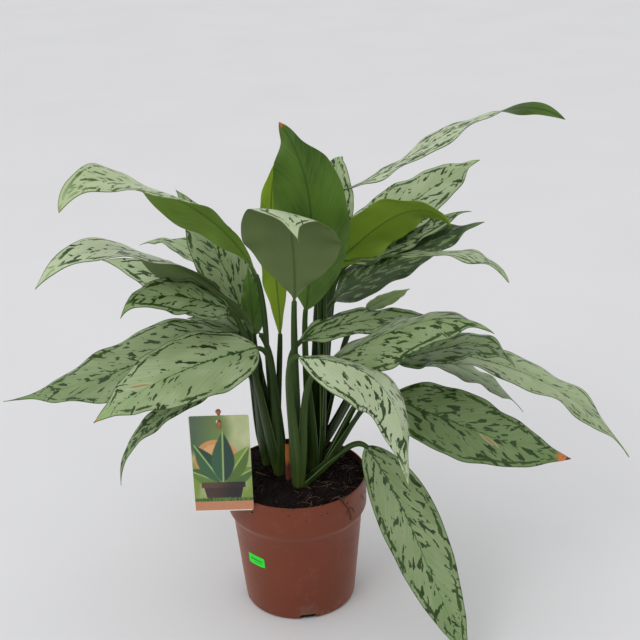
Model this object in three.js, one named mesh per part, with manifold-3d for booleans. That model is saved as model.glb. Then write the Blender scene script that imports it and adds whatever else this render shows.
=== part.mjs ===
// A potted chinese evergreen: a plastic nursery pot filled with soil, five leafy stems, and a plant tag.
// Millimetres, +Z up. The origin is the middle of the pot's underside, and -Y is the front.

import * as THREE from 'three';
import { mergeVertices } from 'three/addons/utils/BufferGeometryUtils.js';
import Module from 'manifold-3d';

const wasm = await Module();
wasm.setup();

// Driving dimensions of the pot.
const potHeight = 168;
const rimDiameter = 170;
const collarHeight = 41;
const shoulderHeight = 8;
const shoulderStep = 6;
const baseDiameter = 136;
const potWall = 1.6;
const floorThickness = 2.4;
const edgeRounding = 4;
const wallDraft = 0.6;
const potSides = 48;
const notchWidth = 20;
const notchHeight = 7.5;
const notchCount = 4;
const firstNotchAngle = -82;

// Driving dimensions of the soil and the stems.
const soilHeight = 162;
const soilHeap = 3;
const soilLump = 1.6;
const soilLean = 3.2;
const stemDiameter = 17;
const stemDepth = 75;
const crownHeight = 22;
const stalkFootRadius = 8;
const stalkNeckRadius = 3;
const stalkTaper = 1.3;
const sheathFootRadius = 4.5;
const sheathTopRadius = 2.4;
const gap = 0.3;

// Driving dimensions of the leaf blades.
const bladeThickness = 0.9;
const bladeFootHalf = 2.4;
const bladeTipHalf = 0.5;
const bladeArch = 0.12;
const midribThickness = 2;
const droopStart = 0.84;
const wavePitch = 21;

// Driving dimensions of the tag, its stake and the price label.
const tagWidth = 68;
const tagHeight = 124;
const tagThickness = 0.8;
const tagCorner = 3;
const tagHole = 6;
const tagHoleDrop = 8;
const stakeRadius = 1.5;
const knobRadius = 3;
const pegRadius = 1.6;
const tabWidth = 4.5;
const tabHeight = 9.6;
const tabThickness = 1.4;
const labelWidth = 26;
const labelHeight = 14;
const labelThickness = 0.6;
const labelAngle = -132;
const labelMiddle = 80;

const rimRadius = rimDiameter / 2;
const baseRadius = baseDiameter / 2;
const collarBottom = potHeight - collarHeight;
const shoulderBottom = collarBottom - shoulderHeight;
const bodyTopRadius = rimRadius - shoulderStep;

const part = new THREE.Group();

function addPiece(name, geometry, color, roughness) {
  const material = new THREE.MeshStandardMaterial({ color, roughness, metalness: 0 });
  const mesh = new THREE.Mesh(geometry, material);
  mesh.name = name;
  part.add(mesh);
}

// A closed geometry as a solid that can be joined and cut, and back again.
function toSolid(geometry) {
  const bare = geometry.clone();
  bare.deleteAttribute('normal');
  bare.deleteAttribute('uv');
  const merged = mergeVertices(bare, 1e-4);
  const vertProperties = new Float32Array(merged.attributes.position.array);
  const triVerts = new Uint32Array(merged.index.array);
  return new wasm.Manifold(new wasm.Mesh({ numProp: 3, vertProperties, triVerts }));
}

function toGeometry(solid) {
  const mesh = solid.getMesh();
  const geometry = new THREE.BufferGeometry();
  geometry.setAttribute('position', new THREE.BufferAttribute(new Float32Array(mesh.vertProperties), 3));
  geometry.setIndex(new THREE.BufferAttribute(new Uint32Array(mesh.triVerts), 1));
  return geometry;
}

function subtractAll(solid, cutters) {
  return cutters.reduce((rest, cutter) => rest.subtract(toSolid(cutter)), solid);
}

// A turned shape: [radius, height] pairs from the axis round to the axis.
function turned(profile, segments) {
  const points = profile.map(([r, z]) => new THREE.Vector2(r, z));
  return new THREE.LatheGeometry(points, segments).rotateX(Math.PI / 2);
}

// The outer radius of the pot's narrowing body at a height.
function bodyRadiusAt(z) {
  return baseRadius + (bodyTopRadius - baseRadius) * (z / shoulderBottom);
}

// Pot: one thin moulded shell with a flat floor, and notches that drain it through its bottom edge.
function potGeometry() {
  const insideBottom = bodyRadiusAt(floorThickness) - potWall;
  const shell = turned([
    [0, 0],
    [baseRadius - edgeRounding, 0],
    [baseRadius - edgeRounding * 0.3, edgeRounding * 0.3],
    [bodyRadiusAt(edgeRounding), edgeRounding],
    [bodyTopRadius, shoulderBottom],
    [rimRadius - wallDraft, collarBottom],
    [rimRadius, potHeight - 1],
    [rimRadius - 0.5, potHeight],
    [rimRadius - potWall, potHeight],
    [rimRadius - potWall - wallDraft, collarBottom],
    [bodyTopRadius - potWall, shoulderBottom - 1],
    [insideBottom, floorThickness],
    [0, floorThickness],
  ], potSides);
  const cutters = [];
  for (let i = 0; i < notchCount; i += 1) {
    const angle = THREE.MathUtils.degToRad(firstNotchAngle + (360 / notchCount) * i);
    const cutter = new THREE.BoxGeometry(notchWidth, notchWidth, notchHeight * 2);
    cutter.translate(baseRadius, 0, 0).rotateZ(angle);
    cutters.push(cutter);
  }
  return toGeometry(subtractAll(toSolid(shell), cutters));
}

// Height of the soil: a low heap with lumps, which leans down to the right.
function soilSurface(x, y) {
  const out = Math.hypot(x, y) / rimRadius;
  const broadLumps = soilLump * Math.sin(x / 9 + 1) * Math.cos(y / 11);
  const smallLumps = 0.55 * soilLump * Math.sin(x / 4.3 + y / 6.1);
  const lean = (soilLean * (y / 4 - x)) / rimRadius;
  return soilHeight + soilHeap * (1 - out * out) + broadLumps + smallLumps + lean;
}

// Soil: fills the pot to just under its rim, a hair's breadth clear of the pot's wall and floor.
function soilGeometry() {
  const rimInside = rimRadius - potWall - 2 * gap;
  const rings = [1, 0.8, 0.6, 0.4, 0.2, 0];
  const geometry = turned([
    [0, floorThickness + gap],
    [bodyRadiusAt(floorThickness) - potWall - gap, floorThickness + gap],
    [bodyTopRadius - potWall - 1.3 * gap, shoulderBottom - 1 - gap],
    [rimInside - wallDraft + 0.1, collarBottom - 0.2],
    ...rings.map((ring) => [rimInside * ring, soilHeight]),
  ], potSides);
  const position = geometry.attributes.position;
  for (let i = 0; i < position.count; i += 1) {
    if (position.getZ(i) > soilHeight - 1) {
      position.setZ(i, soilSurface(position.getX(i), position.getY(i)));
    }
  }
  return geometry;
}

// Where each leafy stem stands in the soil.
const stems = {
  back_left: [-31, 25],
  left: [-17, 2],
  front: [1, -25],
  right: [23, 7],
  back_right: [19, 50],
};

// Each leaf: its stem, its width and four points of its midrib, a third of the way apart. The rest is given
// where it isn't the usual: the roll of the face and the fold along the midrib in degrees (one for all four
// points, or one for each), the part of the length where the blade is broadest, how sharply it ends, the
// height of its edge waves and the droop of its tip.
const usual = { roll: 0, fold: 8, broadest: 0.37, sharpness: 1.67, wave: 2, droop: 0 };
const leaves = [
  leaf('left_01', 'left', 72, [[-36, 0, 424], [-94, -40, 516], [-170, -86, 564], [-222, -130, 560]],
    { roll: [-14, 34, -4, -10], fold: [10, -17, 7, 10], broadest: 0.63, sharpness: 2, droop: 14 }),
  leaf('left_02', 'back_left', 80, [[-52, 46, 336], [-80, 62, 418], [-108, 88, 466], [-134, 116, 492]],
    { roll: -5 }),
  leaf('left_03', 'left', 62, [[-35, 16, 343], [-112, -18, 438], [-186, -65, 483], [-261, -106, 470]],
    { roll: [-14, 36, -2, -12], fold: [10, -18, 7, 10], broadest: 0.55, sharpness: 1.9, droop: 14 }),
  leaf('left_04', 'back_left', 62, [[-74, 62, 346], [-132, 76, 382], [-182, 86, 404], [-226, 92, 414]],
    { roll: -25 }),
  leaf('left_05', 'left', 60, [[-68, -20, 391], [-109, -48, 418], [-149, -66, 428], [-180, -82, 418]],
    { roll: -28, droop: 8 }),
  leaf('left_06', 'back_left', 34, [[-60, 5, 350], [-78, 2, 364], [-98, -2, 372], [-118, -5, 376]],
    { roll: -10, wave: 1 }),
  leaf('left_07', 'back_left', 50, [[-64, 106, 352], [-104, 126, 396], [-146, 144, 416], [-190, 160, 408]]),
  leaf('left_08', 'left', 88, [[-38, -26, 346], [-92, -64, 348], [-152, -96, 336], [-212, -126, 308]],
    { roll: -30, fold: 6 }),
  leaf('left_09', 'back_left', 100, [[-58, 20, 336], [-142, 12, 326], [-228, 6, 298], [-341, -4, 276]],
    { roll: -25, broadest: 0.34, sharpness: 2.2, wave: 3 }),
  leaf('left_10', 'back_left', 30, [[-66, 16, 298], [-128, 8, 266], [-186, 0, 224], [-212, -10, 166]],
    { roll: [-30, -27, -23, -20], droop: 5 }),
  leaf('top_01', 'right', 86, [[18, 4, 378], [27, -20, 460], [24, -42, 542], [-2, -65, 615]],
    { broadest: 0.5 }),
  leaf('top_02', 'front', 108, [[6, -38, 406], [7, -62, 488], [5, -96, 528], [15, -136, 510]],
    { roll: [-12, -17, -18, -16], fold: 1, broadest: 0.5, sharpness: 3 }),
  leaf('top_03', 'back_left', 40, [[-14, 30, 336], [-16, 28, 408], [-18, 24, 488], [-6, 20, 554]],
    { broadest: 0.55 }),
  leaf('top_04', 'right', 88, [[43, 30, 414], [92, 18, 464], [140, 5, 494], [182, -15, 480]],
    { roll: [-42, -43, -39, -30], fold: [4, 5, 7, 8], broadest: 0.5 }),
  leaf('top_05', 'right', 50, [[64, 20, 516], [134, 16, 550], [212, 8, 595], [304, 0, 601]],
    { roll: [-6, 5, -8, -100], fold: 5, broadest: 0.5, droop: 8 }),
  leaf('top_06', 'back_right', 44, [[58, 122, 422], [58, 134, 468], [60, 150, 507], [68, 168, 509]]),
  leaf('top_07', 'back_right', 80, [[68, 92, 426], [130, 110, 458], [184, 128, 488], [234, 148, 515]],
    { roll: 22, droop: 6 }),
  leaf('top_08', 'back_right', 83, [[51, 56, 368], [104, 62, 404], [164, 72, 432], [232, 82, 452]],
    { roll: 12 }),
  leaf('top_09', 'right', 46, [[55, 12, 434], [126, -2, 444], [194, -20, 450], [244, -35, 428]],
    { roll: [-12, -16, -9, 8], fold: [8, 6, 4, 2], broadest: 0.6, droop: 8 }),
  leaf('top_10', 'back_right', 30, [[90, 60, 354], [108, 70, 358], [126, 82, 362], [145, 96, 364]],
    { wave: 1 }),
  leaf('top_11', 'back_left', 30, [[-44, 28, 338], [-45, 26, 371], [-46, 24, 400], [-47, 23, 426]],
    { fold: 10, wave: 1 }),
  leaf('top_12', 'back_right', 34, [[70, 84, 404], [120, 81, 424], [172, 79, 450], [216, 80, 474]],
    { roll: 22, droop: 8 }),
  leaf('right_01', 'front', 46, [[11, -22, 351], [51, -8, 361], [104, 6, 364], [175, 16, 360]],
    { roll: 15 }),
  leaf('right_02', 'front', 98, [[32, -55, 332], [94, -72, 374], [158, -86, 400], [220, -96, 390]],
    { roll: 10, fold: [-10, -11, -11, -12], broadest: 0.33, droop: 4 }),
  leaf('right_03', 'front', 82, [[9, -86, 362], [64, -140, 374], [104, -178, 352], [120, -200, 264]],
    { roll: [25, 28, 30, 30], fold: [-30, -48, -60, -60], broadest: 0.5 }),
  leaf('right_04', 'right', 62, [[120, -10, 318], [170, -20, 334], [218, -30, 342], [254, -40, 318]],
    { roll: 10 }),
  leaf('right_05', 'back_right', 72, [[126, 35, 318], [222, 20, 302], [316, 5, 264], [398, -20, 186]],
    { roll: [5, 3, 1, 0], broadest: 0.58, sharpness: 1.5, wave: 3 }),
  leaf('right_06', 'back_right', 56, [[127, 55, 298], [180, 55, 286], [230, 52, 260], [282, 50, 220]],
    { roll: 4, droop: 6 }),
  leaf('right_07', 'right', 84, [[112, -20, 274], [176, -38, 254], [248, -52, 228], [318, -65, 212]],
    { roll: 40, wave: 3 }),
  leaf('right_08', 'front', 71, [[84, -25, 214], [126, -80, 154], [158, -136, 90], [198, -174, 6]],
    { roll: 40, fold: [-8, -9, -11, -12], wave: 3 }),
];

function leaf(name, stem, width, points, shape = {}) {
  return { ...usual, ...shape, name, stem, width, midrib: curveThrough(points) };
}

// A smooth curve that passes through four points, a third of the way apart.
function curveThrough(points) {
  const [a, b, c, d] = points.map((point) => new THREE.Vector3(...point));
  const mix = (...shares) => [a, b, c, d].reduce(
    (sum, point, i) => sum.addScaledVector(point, shares[i] / 6),
    new THREE.Vector3(),
  );
  return new THREE.CubicBezierCurve3(a, mix(-5, 18, -9, 2), mix(2, -9, 18, -5), d);
}

// A value that is given at the same four points, or once for all of them, at any part of the length.
function valueAt(value, t) {
  if (!Array.isArray(value)) {
    return value;
  }
  const shares = [
    ((1 - 3 * t) * (2 - 3 * t) * (1 - t)) / 2,
    (9 * t * (2 - 3 * t) * (1 - t)) / 2,
    (9 * t * (3 * t - 1) * (1 - t)) / 2,
    (t * (3 * t - 1) * (3 * t - 2)) / 2,
  ];
  return value.reduce((sum, given, i) => sum + given * shares[i], 0);
}

// Half the width of a blade at a part of its length.
function halfWidthAt(t, { width, broadest, sharpness }) {
  const swell = (t / broadest) ** (sharpness * broadest);
  const taper = ((1 - t) / (1 - broadest)) ** (sharpness * (1 - broadest));
  return Math.max((width / 2) * swell * taper, t < 0.5 ? bladeFootHalf : bladeTipHalf);
}

// Blade: a thin closed strip along the midrib, thicker in the middle, folded along it and waved at the edges.
function bladeGeometry(row) {
  const stations = [0, 0.03, 0.1, 0.19, 0.29, 0.4, 0.51, 0.62, 0.73, 0.83, 0.93, 1];
  const across = [-1, -0.5, 0, 0.5, 1];
  const chord = row.midrib.getPointAt(1).sub(row.midrib.getPointAt(0));
  const side = new THREE.Vector3(chord.y, -chord.x, 0).normalize();
  const vertices = [];
  for (const t of stations) {
    const along = row.midrib.getTangentAt(t);
    const face = side.clone().cross(along).normalize();
    face.applyAxisAngle(along, THREE.MathUtils.degToRad(valueAt(row.roll, t)));
    const edgeward = along.clone().cross(face);
    const half = halfWidthAt(t, row);
    const fold = THREE.MathUtils.degToRad(valueAt(row.fold, t));
    const hang = row.droop * (Math.max(0, t - droopStart) / (1 - droopStart)) ** 2;
    const point = row.midrib.getPointAt(t).sub(new THREE.Vector3(0, 0, hang));
    for (const s of across) {
      const lift = Math.abs(s) * half * Math.sin(fold) - s * s * half * bladeArch;
      const ripple = row.wave * Math.sin(t * wavePitch + s * 1.3) * s * s * Math.min(1, half / 12);
      const middle = point.clone();
      middle.addScaledVector(edgeward, s * half * Math.cos(fold));
      middle.addScaledVector(face, lift + ripple);
      const thickness = s === 0 ? midribThickness * (1 - 0.5 * t) : bladeThickness;
      const below = s === 0 ? thickness - bladeThickness / 2 : thickness / 2;
      vertices.push(middle.clone().addScaledVector(face, bladeThickness / 2));
      vertices.push(middle.clone().addScaledVector(face, -below));
    }
  }
  const rowLength = across.length;
  const at = (i, j, under) => (i * rowLength + j) * 2 + under;
  const index = [];
  const quad = (a, b, c, d) => index.push(a, b, c, a, c, d);
  for (let i = 0; i < stations.length - 1; i += 1) {
    for (let j = 0; j < rowLength - 1; j += 1) {
      const [a, b, c, d] = [at(i, j, 1), at(i, j + 1, 1), at(i + 1, j + 1, 1), at(i + 1, j, 1)];
      quad(at(i, j, 0), at(i, j + 1, 0), at(i + 1, j + 1, 0), at(i + 1, j, 0));
      index.push(a, c, b, a, d, c);
    }
    quad(at(i, 0, 1), at(i, 0, 0), at(i + 1, 0, 0), at(i + 1, 0, 1));
    quad(
      at(i, rowLength - 1, 0),
      at(i, rowLength - 1, 1),
      at(i + 1, rowLength - 1, 1),
      at(i + 1, rowLength - 1, 0),
    );
  }
  const last = stations.length - 1;
  for (let j = 0; j < rowLength - 1; j += 1) {
    quad(at(0, j, 0), at(0, j, 1), at(0, j + 1, 1), at(0, j + 1, 0));
    quad(at(last, j, 0), at(last, j + 1, 0), at(last, j + 1, 1), at(last, j, 1));
  }
  const geometry = new THREE.BufferGeometry();
  const numbers = vertices.flatMap((vertex) => vertex.toArray());
  geometry.setAttribute('position', new THREE.Float32BufferAttribute(numbers, 3));
  geometry.setIndex(index);
  return geometry;
}

// Bends an upright cylinder of unit height along a curve, narrowing from one radius to another.
function bentAlong(curve, footRadius, neckRadius, sides, steps) {
  const geometry = new THREE.CylinderGeometry(1, 1, 1, sides, steps);
  const frames = curve.computeFrenetFrames(steps, false);
  const position = geometry.attributes.position;
  for (let i = 0; i < position.count; i += 1) {
    const t = position.getY(i) + 0.5;
    const k = Math.round(t * steps);
    const radius = neckRadius + (footRadius - neckRadius) * (1 - t) ** stalkTaper;
    const point = curve.getPointAt(k / steps);
    point.addScaledVector(frames.binormals[k], position.getX(i) * radius);
    point.addScaledVector(frames.normals[k], position.getZ(i) * radius);
    position.setXYZ(i, point.x, point.y, point.z);
  }
  return geometry;
}

// Stalk: rises out of the top of its stem, off its middle, then bends over into the foot of its blade.
function stalkCurve(row) {
  const offMiddle = 2.5;
  const steepest = 0.85;
  const shallowest = 1.2;
  const longestNeck = 40;
  const [x, y] = stems[row.stem];
  const foot = row.midrib.getPointAt(0);
  const along = row.midrib.getTangentAt(0);
  const away = new THREE.Vector3(foot.x - x, foot.y - y, 0);
  const distance = away.length();
  away.normalize();
  const start = new THREE.Vector3(x, y, soilHeight + crownHeight / 2).addScaledVector(away, offMiddle);
  const reach = foot.distanceTo(start);
  const lean = Math.min(steepest * (distance / (foot.z - start.z)), shallowest);
  const rise = away.multiplyScalar(lean).add(new THREE.Vector3(0, 0, 1)).normalize();
  const end = foot.clone().addScaledVector(along, -gap);
  const neck = end.clone().addScaledVector(along, -Math.min(0.28 * reach, longestNeck));
  const shin = start.clone().addScaledVector(rise, 0.5 * reach);
  return new THREE.CubicBezierCurve3(start, shin, neck, end);
}

// Leafy stem: a short cane with a rounded crown, joined to the stalks that grow out of it.
function stemSolid(name) {
  const [x, y] = stems[name];
  const radius = stemDiameter / 2;
  const cane = turned([
    [0, soilHeight - stemDepth],
    [radius, soilHeight - stemDepth],
    [radius, soilHeight + crownHeight / 2],
    [radius * 0.6, soilHeight + crownHeight],
    [0, soilHeight + crownHeight],
  ], 10);
  let solid = toSolid(cane.translate(x, y, 0));
  for (const row of leaves.filter((leafRow) => leafRow.stem === name)) {
    solid = solid.add(toSolid(bentAlong(stalkCurve(row), stalkFootRadius, stalkNeckRadius, 6, 7)));
  }
  return solid;
}

// Tag: a card with rounded corners and a punched hole, upright at the front left of the rim.
const tagMiddle = [-83, -74, 224];

function tagGeometry() {
  const outline = new THREE.Shape();
  const across = tagWidth / 2 - tagCorner;
  const up = tagHeight / 2 - tagCorner;
  outline.moveTo(-across, -up - tagCorner);
  outline.absarc(across, -up, tagCorner, -Math.PI / 2, 0);
  outline.absarc(across, up, tagCorner, 0, Math.PI / 2);
  outline.absarc(-across, up, tagCorner, Math.PI / 2, Math.PI);
  outline.absarc(-across, -up, tagCorner, Math.PI, Math.PI * 1.5);
  const hole = new THREE.Path().absarc(0, tagHeight / 2 - tagHoleDrop, tagHole / 2, 0, Math.PI * 2, true);
  outline.holes.push(hole);
  const settings = { depth: tagThickness, bevelEnabled: false, curveSegments: 4 };
  return new THREE.ExtrudeGeometry(outline, settings).rotateX(Math.PI / 2).translate(...tagMiddle);
}

// Tag holder: a stake from the soil up behind the card, with a knob above the card, and a peg that
// comes forward through the card's hole and ends in a tab on the card's face.
const stakeFoot = [-57, -33, 120];
const [tagX, tagY, tagZ] = tagMiddle;
const stakeY = tagY + gap + stakeRadius + 0.2;

function stakeCurve() {
  return new THREE.QuadraticBezierCurve3(
    new THREE.Vector3(...stakeFoot),
    new THREE.Vector3(stakeFoot[0] - 9, stakeFoot[1] - 13, soilHeight + 40),
    new THREE.Vector3(tagX, stakeY, tagZ + tagHeight / 2 + 1),
  );
}

function holderGeometry() {
  const holeHeight = tagZ + tagHeight / 2 - tagHoleDrop;
  const tabY = tagY - tagThickness - gap - tabThickness / 2;
  const knob = new THREE.SphereGeometry(knobRadius, 8, 6);
  knob.translate(tagX, stakeY, tagZ + tagHeight / 2 + knobRadius + 0.5);
  const pegLength = stakeY - tabY + 2 * stakeRadius;
  const peg = new THREE.CylinderGeometry(pegRadius, pegRadius, pegLength, 8);
  peg.translate(tagX, tabY + pegLength / 2, holeHeight);
  const tab = new THREE.BoxGeometry(tabWidth, tabThickness, tabHeight);
  tab.translate(tagX, tabY, holeHeight + pegRadius - tabHeight / 2);
  const stake = bentAlong(stakeCurve(), stakeRadius, stakeRadius, 6, 8);
  return toGeometry([knob, peg, tab].reduce((whole, piece) => whole.add(toSolid(piece)), toSolid(stake)));
}

// Price label: a small sticker that follows the round of the pot's wall.
function labelGeometry() {
  const geometry = new THREE.BoxGeometry(labelWidth, labelThickness, labelHeight, 8, 1, 1);
  const position = geometry.attributes.position;
  for (let i = 0; i < position.count; i += 1) {
    const z = labelMiddle + position.getZ(i);
    const radius = bodyRadiusAt(z) + gap + labelThickness / 2 - position.getY(i);
    const angle = THREE.MathUtils.degToRad(labelAngle) + position.getX(i) / bodyRadiusAt(z);
    position.setXYZ(i, radius * Math.cos(angle), radius * Math.sin(angle), z);
  }
  return geometry;
}

// Dry sheath: a withered leaf base, a tapering curled strip that stands in the soil between the stems.
const sheathFoot = [-7, -12, soilHeight - 12];
const sheathHeight = 72;

function sheathCurve() {
  const [x, y, z] = sheathFoot;
  return new THREE.QuadraticBezierCurve3(
    new THREE.Vector3(x, y, z),
    new THREE.Vector3(x + 1, y + 2, z + sheathHeight / 2),
    new THREE.Vector3(x, y + 4, z + sheathHeight),
  );
}

addPiece('pot', potGeometry(), 0x8a5a48, 0.55);

// The soil has a plain hole for each stem, for the stake and for the dry sheath.
const holes = Object.values(stems).map(([x, y]) => {
  const radius = stemDiameter / 2 + 1.5 * gap;
  const hole = new THREE.CylinderGeometry(radius, radius, 2 * stemDepth, 10);
  return hole.rotateX(Math.PI / 2).translate(x, y, soilHeight - gap);
});
const stakeHole = bentAlong(stakeCurve(), stakeRadius + 2 * gap, stakeRadius + 2 * gap, 6, 8);
const sheathHole = bentAlong(sheathCurve(), sheathFootRadius + 2 * gap, sheathTopRadius + 2 * gap, 6, 4);
holes.push(stakeHole.translate(0, 0, -gap), sheathHole.translate(0, 0, -gap));
addPiece('soil', toGeometry(subtractAll(toSolid(soilGeometry()), holes)), 0x1e1210, 0.95);

for (const name of Object.keys(stems)) {
  addPiece(`stem_${name}`, toGeometry(stemSolid(name)), 0x3d5a26, 0.5);
}
for (const row of leaves) {
  addPiece(`leaf_${row.name}`, bladeGeometry(row), 0x7d9a66, 0.45);
}
addPiece('dry_sheath', bentAlong(sheathCurve(), sheathFootRadius, sheathTopRadius, 6, 4), 0x8a4a1c, 0.8);
addPiece('plant_tag', tagGeometry(), 0x7f9a4c, 0.4);
addPiece('tag_holder', holderGeometry(), 0x9a5a2a, 0.5);
addPiece('price_label', labelGeometry(), 0x2ee83c, 0.5);

export default part;
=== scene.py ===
# A potted chinese evergreen in Blender: a plastic nursery pot of soil, five leafy stems with silver leaves,
# a plant tag on its stake and a price label. Metres, +Z up, and -Y is the front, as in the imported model.

import math

import bmesh
import bpy
from mathutils import Matrix, Vector, noise


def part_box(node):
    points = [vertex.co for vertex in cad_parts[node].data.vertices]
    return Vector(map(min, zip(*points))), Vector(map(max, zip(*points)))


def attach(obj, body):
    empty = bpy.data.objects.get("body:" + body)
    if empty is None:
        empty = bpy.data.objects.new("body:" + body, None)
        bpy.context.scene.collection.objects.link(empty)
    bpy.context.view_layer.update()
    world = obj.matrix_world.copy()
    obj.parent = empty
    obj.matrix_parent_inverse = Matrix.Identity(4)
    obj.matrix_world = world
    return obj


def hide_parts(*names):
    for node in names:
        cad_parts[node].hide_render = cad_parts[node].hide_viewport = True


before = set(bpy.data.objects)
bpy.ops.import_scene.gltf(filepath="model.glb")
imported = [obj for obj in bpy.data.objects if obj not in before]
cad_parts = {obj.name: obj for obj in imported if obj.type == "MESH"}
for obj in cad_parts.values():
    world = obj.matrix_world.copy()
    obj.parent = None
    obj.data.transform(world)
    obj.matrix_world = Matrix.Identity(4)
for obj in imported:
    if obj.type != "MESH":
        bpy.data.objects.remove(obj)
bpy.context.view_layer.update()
scene = bpy.context.scene
scene.view_settings.view_transform = "Standard"


# ---------------------------------------------------------------- camera
# The photographer stands in front and looks down at the plant, with the camera turned a little off level.
camera_place = (0.034, -1.278, 0.912)
camera_pitch = math.radians(23.1)
camera_tilt = math.radians(-1.65)
camera_lens = 68.0
sensor_width = 36.0

camera_data = bpy.data.cameras.new("camera")
camera_data.lens = camera_lens
camera_data.sensor_width = sensor_width
camera = bpy.data.objects.new("camera", camera_data)
look_down = Matrix.Rotation(math.pi / 2 - camera_pitch, 4, "X")
camera.matrix_world = Matrix.Translation(camera_place) @ look_down @ Matrix.Rotation(camera_tilt, 4, "Z")
scene.collection.objects.link(camera)
scene.camera = camera


# ---------------------------------------------------------------- room
# A plain pale floor that runs far back, under soft daylight from a large window at the front left.
floor_size = 400.0
daylight_strength = 1.05
window_power = 22.0
window_size = 1.6
window_place = (-1.5, -1.9, 2.6)
window_target = (0, 0, 0.25)


def colour(red, green, blue):
    """A screen colour, 0 to 255, as the linear colour that Blender's sockets take."""
    parts = [value / 255 for value in (red, green, blue)]
    return tuple(v / 12.92 if v <= 0.04045 else ((v + 0.055) / 1.055) ** 2.4 for v in parts) + (1.0,)


def node(tree, kind, inputs=None, **settings):
    """A new node with its settings made, and its inputs set to a value or linked to a socket."""
    made = tree.nodes.new(kind)
    for name, value in settings.items():
        setattr(made, name, value)
    for key, value in (inputs or {}).items():
        value = value.socket if isinstance(value, Field) else value
        if isinstance(value, bpy.types.NodeSocket):
            tree.links.new(value, made.inputs[key])
        else:
            made.inputs[key].default_value = value
    return made


class Field:
    """A number or a vector that nodes work out, so that a formula in a tree reads as a formula."""

    def __init__(self, socket):
        self.socket = socket

    def worked(self, operation, *parts):
        """The field of one Math or Vector Math node."""
        tree = self.socket.id_data
        fields = [part for part in parts if isinstance(part, Field)]
        is_vector = any(field.socket.type == "VECTOR" for field in fields)
        made = tree.nodes.new("ShaderNodeVectorMath" if is_vector else "ShaderNodeMath")
        made.operation = operation
        for socket, part in zip(made.inputs, parts):
            if isinstance(part, Field):
                tree.links.new(part.socket, socket)
            else:
                socket.default_value = (part,) * 3 if is_vector and not isinstance(part, tuple) else part
        return Field(made.outputs[0])

    def __add__(self, other):
        return self.worked("ADD", self, other)

    def __sub__(self, other):
        return self.worked("SUBTRACT", self, other)

    def __rsub__(self, other):
        return self.worked("SUBTRACT", other, self)

    def __mul__(self, other):
        return self.worked("MULTIPLY", self, other)

    def __truediv__(self, other):
        return self.worked("DIVIDE", self, other)

    def __pow__(self, other):
        return self.worked("POWER", self, other)

    __radd__ = __add__
    __rmul__ = __mul__

    def size(self):
        return self.worked("ABSOLUTE", self)

    def sine(self):
        return self.worked("SINE", self)

    def cosine(self):
        return self.worked("COSINE", self)

    def at_least(self, other):
        return self.worked("MAXIMUM", self, other)

    def at_most(self, other):
        return self.worked("MINIMUM", self, other)

    def cross(self, other):
        return self.worked("CROSS_PRODUCT", self, other)

    def unit(self):
        return self.worked("NORMALIZE", self)

    def step(self, low, high):
        """0 below low, 1 above high, and a smooth rise between them."""
        made = node(self.socket.id_data, "ShaderNodeMapRange", {
            "Value": self, "From Min": low, "From Max": high,
        }, interpolation_type="SMOOTHSTEP")
        return Field(made.outputs["Result"])

    def near(self, middle, width):
        """1 where the field is at middle, falling to 0 at width from it."""
        return 1.0 - (self - middle).size().step(0.0, width)


def blend(factor, low, high):
    """One colour or socket where the factor is 0 and the other where it is 1."""
    made = node(factor.socket.id_data, "ShaderNodeMix", {0: factor, 6: low, 7: high}, data_type="RGBA")
    return Field(made.outputs[2])


def new_material(name, roughness=0.5):
    """A material with one Principled shader: the material, its tree and the shader."""
    material = bpy.data.materials.new(name)
    material.use_nodes = True
    tree = material.node_tree
    tree.nodes.clear()
    shader = node(tree, "ShaderNodeBsdfPrincipled", {"Roughness": roughness})
    node(tree, "ShaderNodeOutputMaterial", {"Surface": shader.outputs[0]})
    return material, tree, shader


def object_place(tree):
    """The place on the object, in metres."""
    return Field(node(tree, "ShaderNodeTexCoord").outputs["Object"])


def cloudy(place, scale, detail=2.0, roughness=0.5, stretch=(1.0, 1.0, 1.0), distortion=0.0):
    """Soft noise from 0 to 1 at a place."""
    made = node(place.socket.id_data, "ShaderNodeTexNoise", {
        "Vector": place * stretch, "Scale": scale, "Detail": detail,
        "Roughness": roughness, "Distortion": distortion,
    })
    return Field(made.outputs[0])


def raised(shader, height, strength, distance):
    """Gives the shader a bump of this height field."""
    tree = shader.id_data
    bump = node(tree, "ShaderNodeBump", {"Height": height, "Strength": strength, "Distance": distance})
    tree.links.new(bump.outputs[0], shader.inputs["Normal"])


def paint(shader, socket, field):
    """Links a field to a socket of the shader."""
    shader.id_data.links.new(field.socket, shader.inputs[socket])


def new_piece(name, mesh, material=None):
    """An object for a finished mesh, with its place in the mesh."""
    if material:
        mesh.materials.clear()
        mesh.materials.append(material)
    piece = bpy.data.objects.new(name, mesh)
    scene.collection.objects.link(piece)
    return piece


floor_material, tree, shader = new_material("floor_paper", roughness=0.8)
mottle = cloudy(object_place(tree), 3.0)
paint(shader, "Base Color", blend(mottle, colour(211, 211, 213), colour(218, 218, 219)))

floor_mesh = bpy.data.meshes.new("floor")
half_floor = floor_size / 2
corners = [(x * half_floor, y * half_floor, 0) for x, y in ((-1, -1), (1, -1), (1, 1), (-1, 1))]
floor_mesh.from_pydata(corners, [], [(0, 1, 2, 3)])
new_piece("floor", floor_mesh, floor_material)

world = bpy.data.worlds.new("daylight")
world.use_nodes = True
backdrop = world.node_tree.nodes["Background"]
seen = Field(node(world.node_tree, "ShaderNodeLightPath").outputs["Is Camera Ray"])
paint(backdrop, "Color", blend(seen, colour(246, 246, 247), colour(212, 212, 214)))
backdrop.inputs["Strength"].default_value = daylight_strength
scene.world = world

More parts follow.
